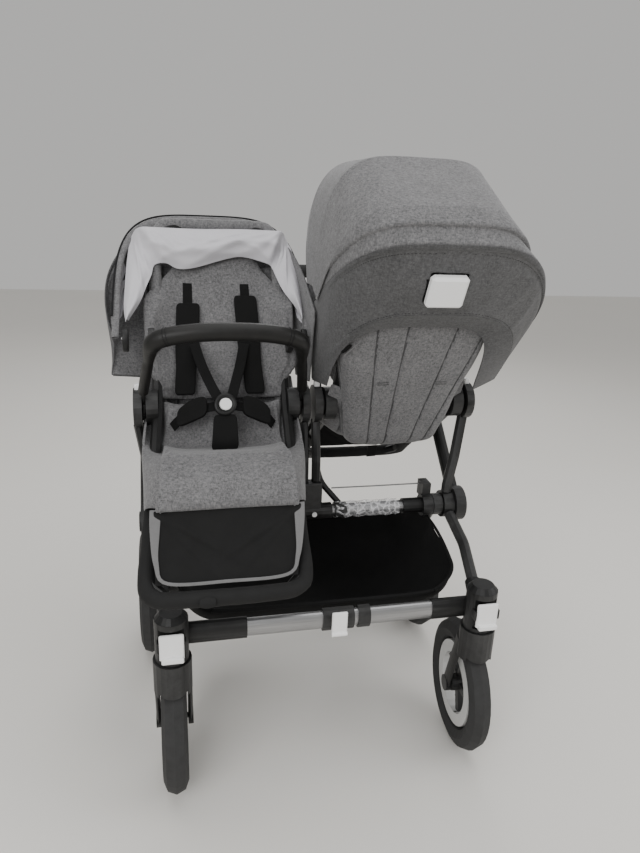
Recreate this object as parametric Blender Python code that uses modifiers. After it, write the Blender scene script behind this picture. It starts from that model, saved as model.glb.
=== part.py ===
"""Convertible double stroller with two seats side by side, one facing each way.

Lengths are metres. X runs across the stroller, Y to its rear, Z up from the floor.
Chassis points are measured from the hub axis (Y = 0 there) and the frame's centre line.
Seat points are measured from the seat's hinge axis, with Z up the backrest and the
occupant facing -Y. The middle of the overall box stands on the world's origin.
"""
import math

import bmesh
import bpy
from mathutils import Matrix, Vector

# Where the middle of the overall box lies from the frame's centre line and hub axis
MIDDLE_X = 0.0000
MIDDLE_Y = 0.0826

# Chassis
HUB_Z = 0.4445
HUB_PIN = 0.0095
HINGE_Y = 0.0310
HINGE_Z = 0.6720
MID_BAR_R = 0.0125
FRONT_BAR_Y = -0.2220
FRONT_BAR_Z = 0.3330
LEG_R = 0.0115
REAR_LEG_X = 0.2820
REAR_AXLE = (0.2260, 0.1500)
REAR_BAR_AT = 0.90
REAR_BAR_R = 0.0125
CLEAR = 0.0005
BUTT = 0.0003

# Wheels and castors
SWIVEL_X = 0.2870
SWIVEL_Y = -0.2434
TRAIL = 0.0480
LEFT_SWIVEL_TURN = 0.0
RIGHT_SWIVEL_TURN = -4.0
FRONT_R = 0.1305
REAR_R = 0.1500
REAR_WHEEL_X = 0.3390
TYRE_R = 0.0225
RIM_DEPTH = 0.0240
HOUSING_R = 0.0290
HOUSING_FOOT_Z = 0.3025

# Push handle
HANDLE_X = 0.3290
HANDLE_ANGLE = 43.4
HANDLE_REACH = 0.6533
HANDLE_R = 0.0135
HANDLE_SPLIT = 0.4000
BAR_R = 0.0100
GRIP_R = 0.0165

# Seats
SEAT_X = 0.1748
SEAT_LEAN = 25.0
FRAME_X = 0.1255
FOOT_X = 0.1320
FOOT_SHIFT = {"left": -0.0185, "right": 0.0}
FRAME_R = 0.0105
HEAD_GAP = 0.1548
HEAD_R = 0.0385
SHELL_THICK = 0.0200
HOOD_PIVOT = (-0.0600, 0.1250)
HOOD_R = 0.3350
HOOD_SHIFT = -0.0150
HOOD_BACK_W = 0.1620
HOOD_W = 0.1720
HOOP_W = 0.1830
HOOD_THICK = 0.0040
LEFT_HOOD_ANGLE = -27.0
RIGHT_HOOD_ANGLE = 58.0

# Colours as linear values, then roughness and metallic
FINISHES = {
    "black_plastic": ((0.012, 0.012, 0.013), 0.45, 0.0),
    "brushed_aluminium": ((0.52, 0.52, 0.53), 0.35, 1.0),
    "white_plastic": ((0.80, 0.80, 0.79), 0.35, 0.0),
    "tyre_rubber": ((0.020, 0.020, 0.021), 0.75, 0.0),
    "light_rim": ((0.50, 0.50, 0.51), 0.45, 0.0),
    "grey_fabric": ((0.115, 0.115, 0.118), 0.95, 0.0),
    "black_fabric": ((0.010, 0.010, 0.011), 0.90, 0.0),
    "black_webbing": ((0.012, 0.012, 0.012), 0.85, 0.0),
    "black_leatherette": ((0.014, 0.014, 0.014), 0.50, 0.0),
    "grip_foam": ((0.016, 0.016, 0.016), 0.80, 0.0),
    "steel_cable": ((0.050, 0.045, 0.042), 0.60, 0.6),
}


def clear_scene():
    for thing in list(bpy.data.objects):
        bpy.data.objects.remove(thing)


def new_collection(name):
    group = bpy.data.collections.new(name)
    bpy.context.scene.collection.children.link(group)
    return group


def new_material(name):
    colour, roughness, metallic = FINISHES[name]
    finish = bpy.data.materials.new(name)
    finish.use_nodes = True
    shader = finish.node_tree.nodes["Principled BSDF"]
    shader.inputs["Base Color"].default_value = (*colour, 1.0)
    shader.inputs["Roughness"].default_value = roughness
    shader.inputs["Metallic"].default_value = metallic
    return finish


def empty(name, parent, location=(0.0, 0.0, 0.0), turn=(0.0, 0.0, 0.0)):
    pivot = bpy.data.objects.new(name, None)
    pivot.location = location
    pivot.rotation_euler = [math.radians(angle) for angle in turn]
    pivot.empty_display_size = 0.03
    pivot.parent = parent
    model.objects.link(pivot)
    return pivot


def place(name, mesh, finish, parent, offset=(0.0, 0.0, 0.0)):
    """One named piece. Its own origin is its parent's, unless an offset is given."""
    piece = bpy.data.objects.new(name, mesh)
    mesh.materials.clear()
    mesh.materials.append(materials[finish])
    piece.parent = parent
    piece.location = offset
    model.objects.link(piece)
    return piece


def loose(mesh):
    """A solid on its way into a Boolean."""
    solid = bpy.data.objects.new("solid", mesh)
    solid.hide_render = True
    solid.display_type = "WIRE"
    workshop.objects.link(solid)
    return solid


def from_bmesh(shape):
    mesh = bpy.data.meshes.new("solid")
    shape.to_mesh(mesh)
    shape.free()
    return mesh


def rod(start, end, radius, sides=16, end_radius=None):
    """A round bar or cone between two points."""
    start, end = Vector(start), Vector(end)
    along = end - start
    shape = bmesh.new()
    stand = along.to_track_quat("Z", "Y").to_matrix().to_4x4()
    bmesh.ops.create_cone(
        shape, cap_ends=True, segments=sides, radius1=radius,
        radius2=radius if end_radius is None else end_radius, depth=along.length,
        matrix=Matrix.Translation((start + end) / 2) @ stand)
    return from_bmesh(shape)


def rod_x(low, high, radius, y=0.0, z=0.0, sides=16):
    return rod((low, y, z), (high, y, z), radius, sides)


def oval_x(low, high, deep, tall, y, z, sides=16):
    """A bar along X with an oval section, deep along Y and tall along Z."""
    mesh = rod_x(low, high, 0.5, sides=sides)
    mesh.transform(Matrix.Translation((0, y, z)) @ Matrix.Diagonal((1, deep, tall, 1)))
    return mesh


def box(low, high, soften=0.0, turn=None):
    """A block between two corners, with its edges eased, turned about its middle."""
    low, high = Vector(low), Vector(high)
    shape = bmesh.new()
    stand = turn.to_4x4() if turn else Matrix.Identity(4)
    bmesh.ops.create_cube(shape, size=1.0)
    bmesh.ops.scale(shape, vec=high - low, verts=shape.verts)
    if soften:
        bmesh.ops.bevel(shape, geom=shape.edges, offset=soften, segments=1,
                        affect="EDGES", profile=0.5)
    shape.transform(Matrix.Translation((low + high) / 2) @ stand)
    return from_bmesh(shape)


def rounded_path(corners, bend, steps=3, closed=False):
    """Straight runs with an arc at each corner; bend is one radius, or one per corner."""
    corners = [Vector(corner) for corner in corners]
    bends = bend if isinstance(bend, (list, tuple)) else [bend] * len(corners)
    path = []
    for i, corner in enumerate(corners):
        if not closed and i in (0, len(corners) - 1):
            path.append(corner)
            continue
        before = corners[i - 1] - corner
        after = corners[(i + 1) % len(corners)] - corner
        half = before.angle(after) / 2
        reach = min(bends[i] / math.tan(half), 0.48 * before.length, 0.48 * after.length)
        radius = reach * math.tan(half)
        middle = corner + (before.normalized() + after.normalized()).normalized() \
            * radius / math.sin(half)
        first = corner + before.normalized() * reach - middle
        last = corner + after.normalized() * reach - middle
        for k in range(steps + 1):
            path.append(middle + first.slerp(last, k / steps).normalized() * radius)
    return path


def tube(path, radius, closed=False, resolution=2, radii=None):
    """A tube along a path as a closed mesh."""
    curve = bpy.data.curves.new("tube", "CURVE")
    curve.dimensions = "3D"
    curve.bevel_depth = radius
    curve.bevel_resolution = resolution
    curve.use_fill_caps = True
    line = curve.splines.new("POLY")
    line.points.add(len(path) - 1)
    line.use_cyclic_u = closed
    for i, place_at in enumerate(path):
        line.points[i].co = (*place_at, 1.0)
        line.points[i].radius = radii[i] if radii else 1.0
    guide = loose(curve)
    mesh = evaluated_mesh(guide)
    bpy.data.objects.remove(guide)
    weld(mesh)
    return mesh


def evaluated_mesh(thing):
    graph = bpy.context.evaluated_depsgraph_get()
    return bpy.data.meshes.new_from_object(thing.evaluated_get(graph))


def weld(mesh):
    shape = bmesh.new()
    shape.from_mesh(mesh)
    bmesh.ops.remove_doubles(shape, verts=shape.verts, dist=0.00001)
    shape.to_mesh(mesh)
    shape.free()


def joined(pieces, cutters=()):
    """The pieces united as one closed mesh, and the cutters taken away from it."""
    body = loose(pieces[0])
    others = [(loose(piece), "UNION") for piece in pieces[1:]]
    others += [(loose(cutter), "DIFFERENCE") for cutter in cutters]
    for other, operation in others:
        step = body.modifiers.new(operation.lower(), "BOOLEAN")
        step.operation = operation
        step.object = other
    mesh = evaluated_mesh(body)
    bpy.data.objects.remove(body)
    for other, operation in others:
        bpy.data.objects.remove(other)
    return mesh


def smooth(mesh, angle=35.0):
    mesh.shade_smooth()
    mesh.set_sharp_from_angle(angle=math.radians(angle))
    return mesh


def sheet(rows, thickness):
    """A closed shell: a grid of points given a thickness on its outer side."""
    shape = bmesh.new()
    grid = [[shape.verts.new(point) for point in row] for row in rows]
    for row, following in zip(grid, grid[1:]):
        for i in range(len(row) - 1):
            shape.faces.new((row[i], row[i + 1], following[i + 1], following[i]))
    skin = loose(from_bmesh(shape))
    wall = skin.modifiers.new("wall", "SOLIDIFY")
    wall.thickness = thickness
    wall.offset = 1.0
    mesh = evaluated_mesh(skin)
    bpy.data.objects.remove(skin)
    return mesh


# Chassis pieces; side is -1 on the left and 1 on the right

def mirrored(side, point):
    return (side * point[0], point[1], point[2])


def front_leg(side):
    corners = [(0.3050, -0.0302, 0.4320), (0.3080, -0.1050, 0.4010), (0.2965, -0.1850, 0.3620)]
    path = rounded_path([mirrored(side, corner) for corner in corners], 0.12)
    return smooth(tube(path, LEG_R, resolution=3))


def hub(side):
    """Fixed core of the side joint: bar socket, boss, plate, pin and end cap."""
    spans = [(0.2050, 0.2560, 0.0165), (0.2480, 0.2705, 0.0240), (0.2640, 0.3430, HUB_PIN),
             (0.2935, 0.3165, 0.0295), (0.3412, 0.3445, 0.0200)]
    solids = [rod_x(side * low, side * high, radius, z=HUB_Z) for low, high, radius in spans]
    solids.append(box(*span_x(side, 0.2500, 0.2690, 0.0000, 0.0320, HUB_Z + 0.015, 0.4930)))
    return smooth(joined(solids))


def span_x(side, low, high, y0, y1, z0, z1):
    """Two corners of a block whose X span is mirrored to its side."""
    across = sorted((side * low, side * high))
    return (across[0], y0, z0), (across[1], y1, z1)


def post_head(x_inner, x_outer, pin_end, button_x):
    """Seat socket on a post: a disc with its pin, and a pocket for the release button."""
    disc = rod_x(x_inner, x_outer, HEAD_R, HINGE_Y, HINGE_Z, 24)
    middle = (x_inner + x_outer) / 2
    pin = rod_x(middle, pin_end, HUB_PIN, HINGE_Y, HINGE_Z)
    pocket = box((button_x - 0.0060, HINGE_Y - 0.0080, HINGE_Z + 0.0250),
                 (button_x + 0.0060, HINGE_Y + 0.0080, HINGE_Z + 0.0450))
    return [disc, pin], [pocket]


def side_post(side):
    corners = [(0.3050, 0.0000, HUB_Z + 0.0298), (0.3050, 0.0000, 0.4880),
               (0.3210, 0.0120, 0.5500), (0.3372, 0.0290, 0.6400)]
    path = rounded_path([mirrored(side, corner) for corner in corners], 0.05)
    head_x = SEAT_X + HEAD_GAP
    solids, pockets = post_head(side * head_x, side * (head_x + 0.0160),
                                side * (head_x - 0.0140), side * (head_x + 0.0080))
    return smooth(joined([tube(path, LEG_R)] + solids, pockets))


def centre_post():
    """Twin post between the seats with its clamp, collars and rear brace."""
    inner = SEAT_X - HEAD_GAP
    solids = [rod_x(-0.0300, 0.0470, 0.0170, z=HUB_Z),
              box((-0.0240, -0.0130, HUB_Z + 0.0080), (0.0240, 0.0160, 0.5120), 0.003),
              rod_x(0.0530, 0.0790, 0.0165, z=HUB_Z)]
    pockets = []
    for side in (-1, 1):
        corners = [(0.0125, 0.0020, 0.4900), (0.0125, 0.0080, 0.5600), (0.0125, 0.0290, 0.6400)]
        path = rounded_path([mirrored(side, corner) for corner in corners], 0.10)
        solids.append(tube(path, 0.0095))
        head, pocket = post_head(side * (inner - 0.0150), side * inner,
                                 side * (inner + 0.0140), side * (inner - 0.0075))
        solids += head
        pockets += pocket
    brace = rounded_path([(0.0125, 0.0300, 0.6380), (0.0170, 0.0330, 0.5400),
                          (0.0300, 0.0320, 0.4950), (0.0660, 0.0080, 0.4560)], 0.05)
    solids.append(tube(brace, 0.0065, resolution=2))
    pockets.append(rod_x(-0.0320, 0.0820, MID_BAR_R + BUTT, z=HUB_Z))
    pockets.append(rod((0.0080, -0.0150, HUB_Z), (0.0080, -0.0200, HUB_Z), 0.0058, 12))
    return smooth(joined(solids, pockets))


def front_housing(side):
    """Castor housing with its cap, leg socket and crossbar sleeve."""
    x = side * SWIVEL_X
    sleeve_end = 0.1555 if side < 0 else 0.1955
    solids = [rod((x, SWIVEL_Y, HOUSING_FOOT_Z), (x, SWIVEL_Y, 0.3830), HOUSING_R, 20),
              rod((x, SWIVEL_Y, 0.3820), (x, SWIVEL_Y, 0.3930), HOUSING_R, 20, 0.0200),
              rod((x, SWIVEL_Y + 0.010, 0.3390), mirrored(side, (0.2963, -0.1860, 0.3625)), 0.0160),
              oval_x(side * sleeve_end, x, 0.0280, 0.0420, FRONT_BAR_Y, FRONT_BAR_Z)]
    cutters = [rod((x, SWIVEL_Y, 0.2900), (x, SWIVEL_Y, 0.3660), 0.0085, 16),
               box((x - 0.0215, SWIVEL_Y - 0.0400, 0.3100), (x + 0.0215, SWIVEL_Y - 0.0175, 0.3720))]
    ears = [rod_x(x - 0.0230, x + 0.0230, 0.0028, SWIVEL_Y - 0.0245, 0.3430, 12)]
    for low, high in ((x - 0.0245, x - 0.0212), (x + 0.0212, x + 0.0245)):
        ears.append(box((low, SWIVEL_Y - 0.0300, 0.3340), (high, SWIVEL_Y - 0.0050, 0.3520)))
    return smooth(joined([joined(solids, cutters)] + ears))


def swivel_tab(side):
    """Rocking lock tab in the housing's front pocket, with its lip."""
    x = side * SWIVEL_X
    y = SWIVEL_Y - 0.0245
    solids = [box((x - 0.0205, y - 0.0078, 0.3180), (x + 0.0205, y - 0.0012, 0.3670), 0.002),
              box((x - 0.0172, y - 0.0150, 0.3150), (x + 0.0198, y - 0.0050, 0.3255), 0.002),
              rod_x(x - 0.0200, x + 0.0200, 0.0058, y, 0.3430, 12)]
    return smooth(joined(solids, [rod_x(x - 0.0300, x + 0.0300, 0.0033, y, 0.3430, 12)]))


def front_bar():
    return smooth(oval_x(-0.1552, 0.1952, 0.0220, 0.0360, FRONT_BAR_Y, FRONT_BAR_Z, 24))


def front_clamp():
    """Width clamp: one wide and one narrow collar on the front bar, joined behind it."""
    solids = [oval_x(low, high, 0.0300, 0.0450, FRONT_BAR_Y, FRONT_BAR_Z)
              for low, high in ((-0.0170, 0.0420), (0.0500, 0.0730))]
    solids.append(box((0.0300, FRONT_BAR_Y + 0.0116, FRONT_BAR_Z - 0.0080),
                      (0.0600, FRONT_BAR_Y + 0.0143, FRONT_BAR_Z + 0.0080)))
    bore = oval_x(-0.0200, 0.0800, 0.0226, 0.0366, FRONT_BAR_Y, FRONT_BAR_Z, 24)
    seat = box((-0.0030, FRONT_BAR_Y - 0.0300, FRONT_BAR_Z - 0.0300),
               (0.0280, FRONT_BAR_Y - 0.0133, FRONT_BAR_Z + 0.0300))
    return smooth(joined(solids, [bore, seat]))


def front_clip():
    """Lever of the width clamp, hinged along its lower edge."""
    y = FRONT_BAR_Y - 0.0136
    solids = [box((-0.0020, y - 0.0062, FRONT_BAR_Z - 0.0230),
                  (0.0270, y, FRONT_BAR_Z + 0.0230), 0.0018),
              rod_x(-0.0020, 0.0270, 0.0045, y - 0.0050, FRONT_BAR_Z - 0.0215, 12)]
    return smooth(joined(solids))


def fork(finger):
    """Castor fork about its swivel axis: stem, crown and two trailing arms."""
    solids = [rod((0, 0, 0.2950), (0, 0, 0.3600), 0.0080, 16),
              rod((0, 0, 0.2360), (0, 0, 0.3015), 0.0335, 20)]
    for side in (-1, 1):
        arm = rod((side * 0.0290, 0.0060, 0.2700), (side * 0.0290, TRAIL, FRONT_R), 0.0150, 16)
        arm.transform(squeezed_x(side * 0.0290, 0.30))
        solids.append(arm)
        solids.append(rod_x(side * 0.0245, side * 0.0340, 0.0160, TRAIL, FRONT_R, 20))
    room = rod_x(-0.0243, 0.0243, FRONT_R + 0.0040, TRAIL, FRONT_R, 36)
    axle = rod_x(-finger, finger, 0.0050, TRAIL, FRONT_R, 12)
    return smooth(joined([joined(solids, [room]), axle]))


def squeezed_x(x, factor):
    """Scale along X about the plane at x."""
    return (Matrix.Translation((x, 0, 0)) @ Matrix.Diagonal((factor, 1, 1, 1))
            @ Matrix.Translation((-x, 0, 0)))


def tyre(radius):
    bpy.ops.mesh.primitive_torus_add(major_radius=radius - TYRE_R, minor_radius=TYRE_R,
                                     major_segments=36, minor_segments=8,
                                     rotation=(0, math.pi / 2, 0))
    ring = bpy.context.object
    mesh = evaluated_mesh(ring)
    mesh.transform(ring.matrix_basis)
    bpy.data.objects.remove(ring)
    return smooth(mesh, 60.0)


def rim(radius, bore):
    """Rim ring with five spokes and a hub, bored for the axle."""
    outer = radius - 2 * TYRE_R - BUTT
    inner = outer - RIM_DEPTH
    ring = joined([rod_x(-0.0150, 0.0150, outer, sides=36)],
                  [rod_x(-0.0200, 0.0200, inner, sides=24)])
    solids = [ring, rod_x(-0.0200, 0.0200, 0.0170)]
    for k in range(5):
        turn = Matrix.Rotation(k * math.tau / 5 + 0.3, 4, "X")
        spoke = box((-0.0070, -0.0080, 0.0100), (0.0070, 0.0080, inner + 0.0080))
        spoke.transform(turn)
        solids.append(spoke)
    return smooth(joined(solids, [rod_x(-0.0300, 0.0300, bore, sides=16)]))


def along_rear_leg(fraction):
    return (REAR_AXLE[0] * fraction, HUB_Z + (REAR_AXLE[1] - HUB_Z) * fraction)


def rear_leg(side):
    """Swinging rear leg: ring on the hub pin, tube, bar socket and axle."""
    bar_y, bar_z = along_rear_leg(REAR_BAR_AT)
    x = side * REAR_LEG_X
    solids = [rod_x(side * 0.2720, side * 0.2920, 0.0235, z=HUB_Z),
              rod((x, *along_rear_leg(0.05)), (x, *along_rear_leg(1.0)), 0.0098, 16),
              rod_x(side * 0.2560, x, 0.0165, bar_y, bar_z),
              rod_x(side * 0.2720, side * 0.3125, 0.0190, *REAR_AXLE),
              rod_x(side * 0.3040, side * 0.3610, 0.0060, *REAR_AXLE, 16)]
    bore = rod_x(side * 0.2640, side * 0.3040, HUB_PIN + CLEAR, z=HUB_Z)
    return smooth(joined(solids, [bore]))


def rear_bar():
    return smooth(rod_x(-0.2557, 0.2557, REAR_BAR_R, *along_rear_leg(REAR_BAR_AT), 20))


def brake_pedal():
    """Foot pedal clipped round the rear bar."""
    bar_y, bar_z = along_rear_leg(REAR_BAR_AT)
    solids = [rod_x(0.1500, 0.1900, 0.0175, bar_y, bar_z),
              box((0.1450, bar_y + 0.0100, bar_z - 0.0050),
                  (0.1950, bar_y + 0.0720, bar_z + 0.0060), 0.002)]
    return smooth(joined(solids, [rod_x(0.1400, 0.2000, REAR_BAR_R + CLEAR, bar_y, bar_z)]))


def on_handle(side, distance, x=HANDLE_X):
    angle = math.radians(HANDLE_ANGLE)
    return (side * x, distance * math.cos(angle), HUB_Z + distance * math.sin(angle))


def handle_tube(side):
    """Lower handle tube on its hub disc, bored for the sliding bar, with a clamp collar."""
    solids = [rod_x(side * 0.3180, side * 0.3407, 0.0375, z=HUB_Z, sides=32),
              rod(on_handle(side, 0.0320), on_handle(side, HANDLE_SPLIT), HANDLE_R),
              rod(on_handle(side, HANDLE_SPLIT - 0.045), on_handle(side, HANDLE_SPLIT), 0.0165)]
    bores = [rod_x(side * 0.2940, side * 0.3540, HUB_PIN + CLEAR, z=HUB_Z),
             rod(on_handle(side, 0.2100), on_handle(side, HANDLE_SPLIT + 0.010), BAR_R + CLEAR)]
    return smooth(joined(solids, bores))


def handle_bar():
    """Sliding U bar of the handle."""
    corners = [on_handle(-1, 0.2200), on_handle(-1, HANDLE_REACH),
               on_handle(1, HANDLE_REACH), on_handle(1, 0.2200)]
    return smooth(tube(rounded_path(corners, 0.075, 5), BAR_R, resolution=3))


def handle_grip():
    y, z = on_handle(1, HANDLE_REACH)[1:]
    return smooth(joined([rod_x(-0.2350, 0.2350, GRIP_R, y, z, 24)],
                         [rod_x(-0.2400, 0.2400, BAR_R + BUTT, y, z, 16)]))


def frame_cable():
    return smooth(tube([(0.0520, 0.0230, 0.4850), (0.1500, 0.0232, 0.4845),
                        (0.2497, 0.0230, 0.4850)], 0.0016, resolution=2))


def basket():
    """Sling basket open at the top, its side panels drawn up towards the hubs."""
    half = 0.2560
    rows = []
    for i in range(13):
        t = 2 * i / 12 - 1
        rows.append([basket_point(t, half, s / 9) for s in range(10)])
    return smooth(sheet(rows, 0.0030), 60.0)


def basket_point(t, half, s):
    """A point of the sling: t runs side to side, s from the front rim under to the rear."""
    side = abs(t) ** 5
    angle = math.pi * s
    y = -0.1860 + 0.3780 * (s - 0.06 * math.sin(2 * angle))
    slope = 1 - 0.28 * max(0.0, 1 - abs(s - 0.22) / 0.22)
    bottom = 0.3440 - 0.110 * math.sin(angle) ** 0.75 * slope - 0.014 * s
    edge = 0.3500 + 0.058 * math.sin(angle) ** 1.5
    z = bottom * (1 - side) + edge * side
    return Vector((half * math.copysign(1 - (1 - abs(t)) ** 1.4, t), y, z))


# Seat pieces in seat space

def seat_frame(shift):
    """Loop tube with its two hinge discs and the two hood clips; the foot hangs aside by shift."""
    corners = [(-FRAME_X, 0.0, 0.0), (-0.1240, 0.0350, 0.3850), (0.1240, 0.0350, 0.3850),
               (FRAME_X, 0.0, 0.0), (FOOT_X + shift, -0.1870, -0.3465),
               (-FOOT_X + shift, -0.1870, -0.3465)]
    path = rounded_path(corners, [0.05, 0.06, 0.06, 0.05, 0.06, 0.06], closed=True)
    solids = [tube(path, FRAME_R, closed=True)]
    bores = []
    for side in (-1, 1):
        solids.append(rod_x(side * 0.1253, side * 0.1478, 0.0340, sides=24))
        solids.append(oval_clip(side))
        bores.append(rod_x(side * 0.1393, side * 0.1600, HUB_PIN + CLEAR))
    return smooth(joined(solids, bores))


def oval_clip(side):
    """Hood clip reaching forward from the frame tube to the hood's pivot."""
    y, z = HOOD_PIVOT
    clip = rod_x(-0.5, 0.5, 1.0, sides=20)
    clip.transform(Matrix.Diagonal((0.0110, 0.0480, 0.0230, 1)))
    clip.transform(Matrix.Translation((side * 0.1330, y / 2 + 0.006, z)))
    return clip


def seat_profile():
    """Inner side of the seat in its middle plane, from the back's top to the foot."""
    corners = [(0.0300, 0.3650), (0.0350, 0.2700), (0.0350, 0.1500), (0.0240, 0.0000),
               (0.0060, -0.0880), (-0.0600, -0.1020), (-0.1600, -0.1260),
               (-0.1760, -0.2000), (-0.1860, -0.3220)]
    bends = [0.0, 0.15, 0.15, 0.15, 0.030, 0.08, 0.028, 0.10, 0.0]
    path = rounded_path([(0.0, y, z) for y, z in corners], bends, 2)
    return [(point.y, point.z) for point in path]


def seat_shell(shift):
    """Fabric seat: back, seat and calf panel as one shell with raised sides."""
    profile = seat_profile()
    rows = []
    for i, (y, z) in enumerate(profile):
        before = profile[max(i - 1, 0)]
        after = profile[min(i + 1, len(profile) - 1)]
        along = Vector((after[0] - before[0], after[1] - before[1])).normalized()
        inward = Vector((along[1], -along[0]))
        half = 0.1010 - 0.28 * max(0.0, z - 0.3000)
        if z < -0.1500:
            half = 0.1110 - 0.20 * max(0.0, -0.2300 - z)
        wing = 0.020 if z > -0.15 else 0.004
        row = []
        for k in range(9):
            t = k / 4 - 1
            rise = wing * abs(t) ** 4
            across = half * t + shift * max(0.0, -z) / 0.3465
            row.append(Vector((across, y + inward[0] * rise, z + inward[1] * rise)))
        rows.append(row)
    return smooth(sheet(rows, SHELL_THICK), 50.0)


def bumper_bar():
    """Padded bar across the seat, on a ring at each hinge."""
    ends = [(-0.1510, -0.0500, 0.0255), (-0.1270, -0.1900, 0.0965), (0.0, -0.2060, 0.1045),
            (0.1270, -0.1900, 0.0965), (0.1510, -0.0500, 0.0255)]
    path = rounded_path(ends, [0.0, 0.040, 0.40, 0.040, 0.0], 4)
    radii = [1.0 if abs(point.x) < 0.124 else 0.62 for point in path]
    solids = [tube(path, GRIP_R, radii=radii)]
    bores = []
    for side in (-1, 1):
        solids.append(rod_x(side * 0.1485, side * 0.1535, 0.0250, sides=24))
        solids.append(tongue(side * 0.1510))
        bores.append(rod_x(side * 0.1400, side * 0.1650, HUB_PIN + CLEAR))
    return smooth(joined(solids, bores))


def tongue(x):
    """Flat link from a bumper ring out to the padded bar."""
    angle = math.atan2(0.0255, -0.0500)
    link = box((-0.0024, 0.0150, -0.0085), (0.0024, 0.0600, 0.0085))
    link.transform(Matrix.Translation((x, 0, 0)) @ Matrix.Rotation(angle, 4, "X"))
    return link


def recline_handle():
    """Squeeze handle behind the top of the back, on its stem."""
    solids = [box((-0.0330, 0.0900, 0.3000), (0.0330, 0.1080, 0.3580), 0.005),
              rod((0.0, 0.0610, 0.3290), (0.0, 0.0950, 0.3290), 0.0110)]
    return smooth(joined(solids))


def harness():
    """Shoulder straps, waist straps and crotch strap meeting at the buckle."""
    y, z = BUCKLE
    solids = [box((-0.0230, y + 0.0045, z - 0.0210), (0.0230, y + 0.0115, z + 0.0230))]
    for side in (-1, 1):
        solids.append(strap((side * 0.0540, 0.0205, 0.2450), (side * 0.0480, 0.0050, 0.1100),
                            0.0500, 0.0060))
        solids.append(strap((side * 0.0500, 0.0080, 0.1250), (side * 0.0120, y + 0.0095, z + 0.0100),
                            0.0240, 0.0040))
        solids.append(strap((side * 0.0900, -0.0060, -0.0200), (side * 0.0150, y + 0.0092, z),
                            0.0240, 0.0040))
    solids.append(strap((0.0, -0.0330, -0.0900), (0.0, y + 0.0094, z - 0.0080), 0.0340, 0.0050))
    return smooth(joined(solids))


BUCKLE = (-0.0500, -0.0060)


def strap(start, end, width, thickness):
    """A flat strap between two points, its broad side facing -Y."""
    start, end = Vector(start), Vector(end)
    along = end - start
    shape = bmesh.new()
    bmesh.ops.create_cube(shape, size=1.0)
    bmesh.ops.scale(shape, vec=(width, thickness, along.length), verts=shape.verts)
    across = along.cross(Vector((0, -1, 0))).normalized()
    facing = along.cross(across).normalized()
    stand = Matrix((across, facing, along.normalized())).transposed().to_4x4()
    shape.transform(Matrix.Translation((start + end) / 2) @ stand)
    return from_bmesh(shape)


def buckle():
    y, z = BUCKLE
    body = rod((0, y + 0.0040, z), (0, y - 0.0120, z), 0.0210, 24, 0.0170)
    return smooth(joined([body], [rod((0, y - 0.0060, z), (0, y - 0.0200, z), 0.0128)]))


def buckle_button():
    y, z = BUCKLE
    return smooth(rod((0, y - 0.0085, z), (0, y - 0.0150, z), 0.0122, 20, 0.0112))


def arch(middle, anchor, half_width, steps=12, square=4.0, low=0.10, bulge=0.0,
         shift=HOOD_SHIFT):
    """A hoop from side to side through its middle point, on two side anchors."""
    points = []
    first = math.asin(low)
    for i in range(steps + 1):
        angle = first + (math.pi - 2 * first) * i / steps
        across = math.copysign(abs(math.cos(angle)) ** (2 / square), math.cos(angle))
        rise = math.sin(angle) ** (2 / square)
        y = anchor[0] + (middle[0] - anchor[0]) * rise
        z = anchor[1] + (middle[1] - anchor[1]) * rise
        swell = 1 + 4 * bulge * rise * (1 - rise)
        points.append(Vector((shift - half_width * swell * across, y, z)))
    return points


def hood_rear():
    """Fixed rear of the hood: skirt, back panel and the crown up to the canopy."""
    middles = rounded_path([(0, 0.0620, 0.2560), (0, 0.0840, 0.3100), (0, 0.0860, 0.3600),
                            (0, 0.0680, 0.4000)], 0.06, 3)
    rows = [arch((point.y, point.z), (-0.0050, 0.0800), HOOD_BACK_W, low=0.01, bulge=0.08)
            for point in middles]
    shell = sheet(rows[::-1], HOOD_THICK)
    slit = box((-0.0380, 0.0500, 0.2950), (0.0380, 0.1200, 0.3630))
    return smooth(joined([shell], [slit]), 60.0)


def hood_point(angle, radius):
    """A point round the hood's pivot; the angle leans forward from the back's line."""
    return (HOOD_PIVOT[0] - radius * math.sin(math.radians(angle)),
            HOOD_PIVOT[1] + radius * math.cos(math.radians(angle)))


LINING_ROWS = [((0.0780, 0.4120), 0.170), ((0.0420, 0.4130), 0.166), ((0.0070, 0.3900), 0.163),
               ((-0.0020, 0.3350), 0.155), ((-0.0020, 0.2900), 0.145)]


def hood_canopy(low, high, radii, steps, half_width, start, square, shift, lining=()):
    """Canopy fabric between its rear hoop and its front hoop, in seat space.

    The folded one goes on as its lining, which hangs over the top of the back.
    """
    rows = []
    for i in range(steps + 1):
        angle = low + (high - low) * i / steps
        radius = radii[i % len(radii)]
        rows.append(arch(hood_point(angle, radius), HOOD_PIVOT, half_width, low=start,
                         square=square, shift=shift))
    for middle, half in lining:
        rows.append(arch(middle, (-0.0450, 0.1500), half, low=start, square=square, shift=shift))
    return smooth(sheet(rows[::-1], HOOD_THICK), 60.0)


def hood_hoop():
    """Front hoop about the hood's pivot, straight up along Z."""
    points = arch((0.0, HOOD_R), (0.0, 0.0), HOOP_W, steps=16, low=0.0)
    feet = []
    for side in (-1, 1):
        feet.append(rod_x(side * 0.1392, HOOD_SHIFT + side * (HOOP_W + 0.0050), 0.0100))
    return smooth(joined([tube(points, 0.0055, resolution=2)] + feet))


def hinge_button(x):
    """Release button standing in the pocket of a post head."""
    return smooth(box((x - 0.0054, HINGE_Y - 0.0074, HINGE_Z + 0.0305),
                      (x + 0.0054, HINGE_Y + 0.0074, HINGE_Z + 0.0480), 0.0015))


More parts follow.
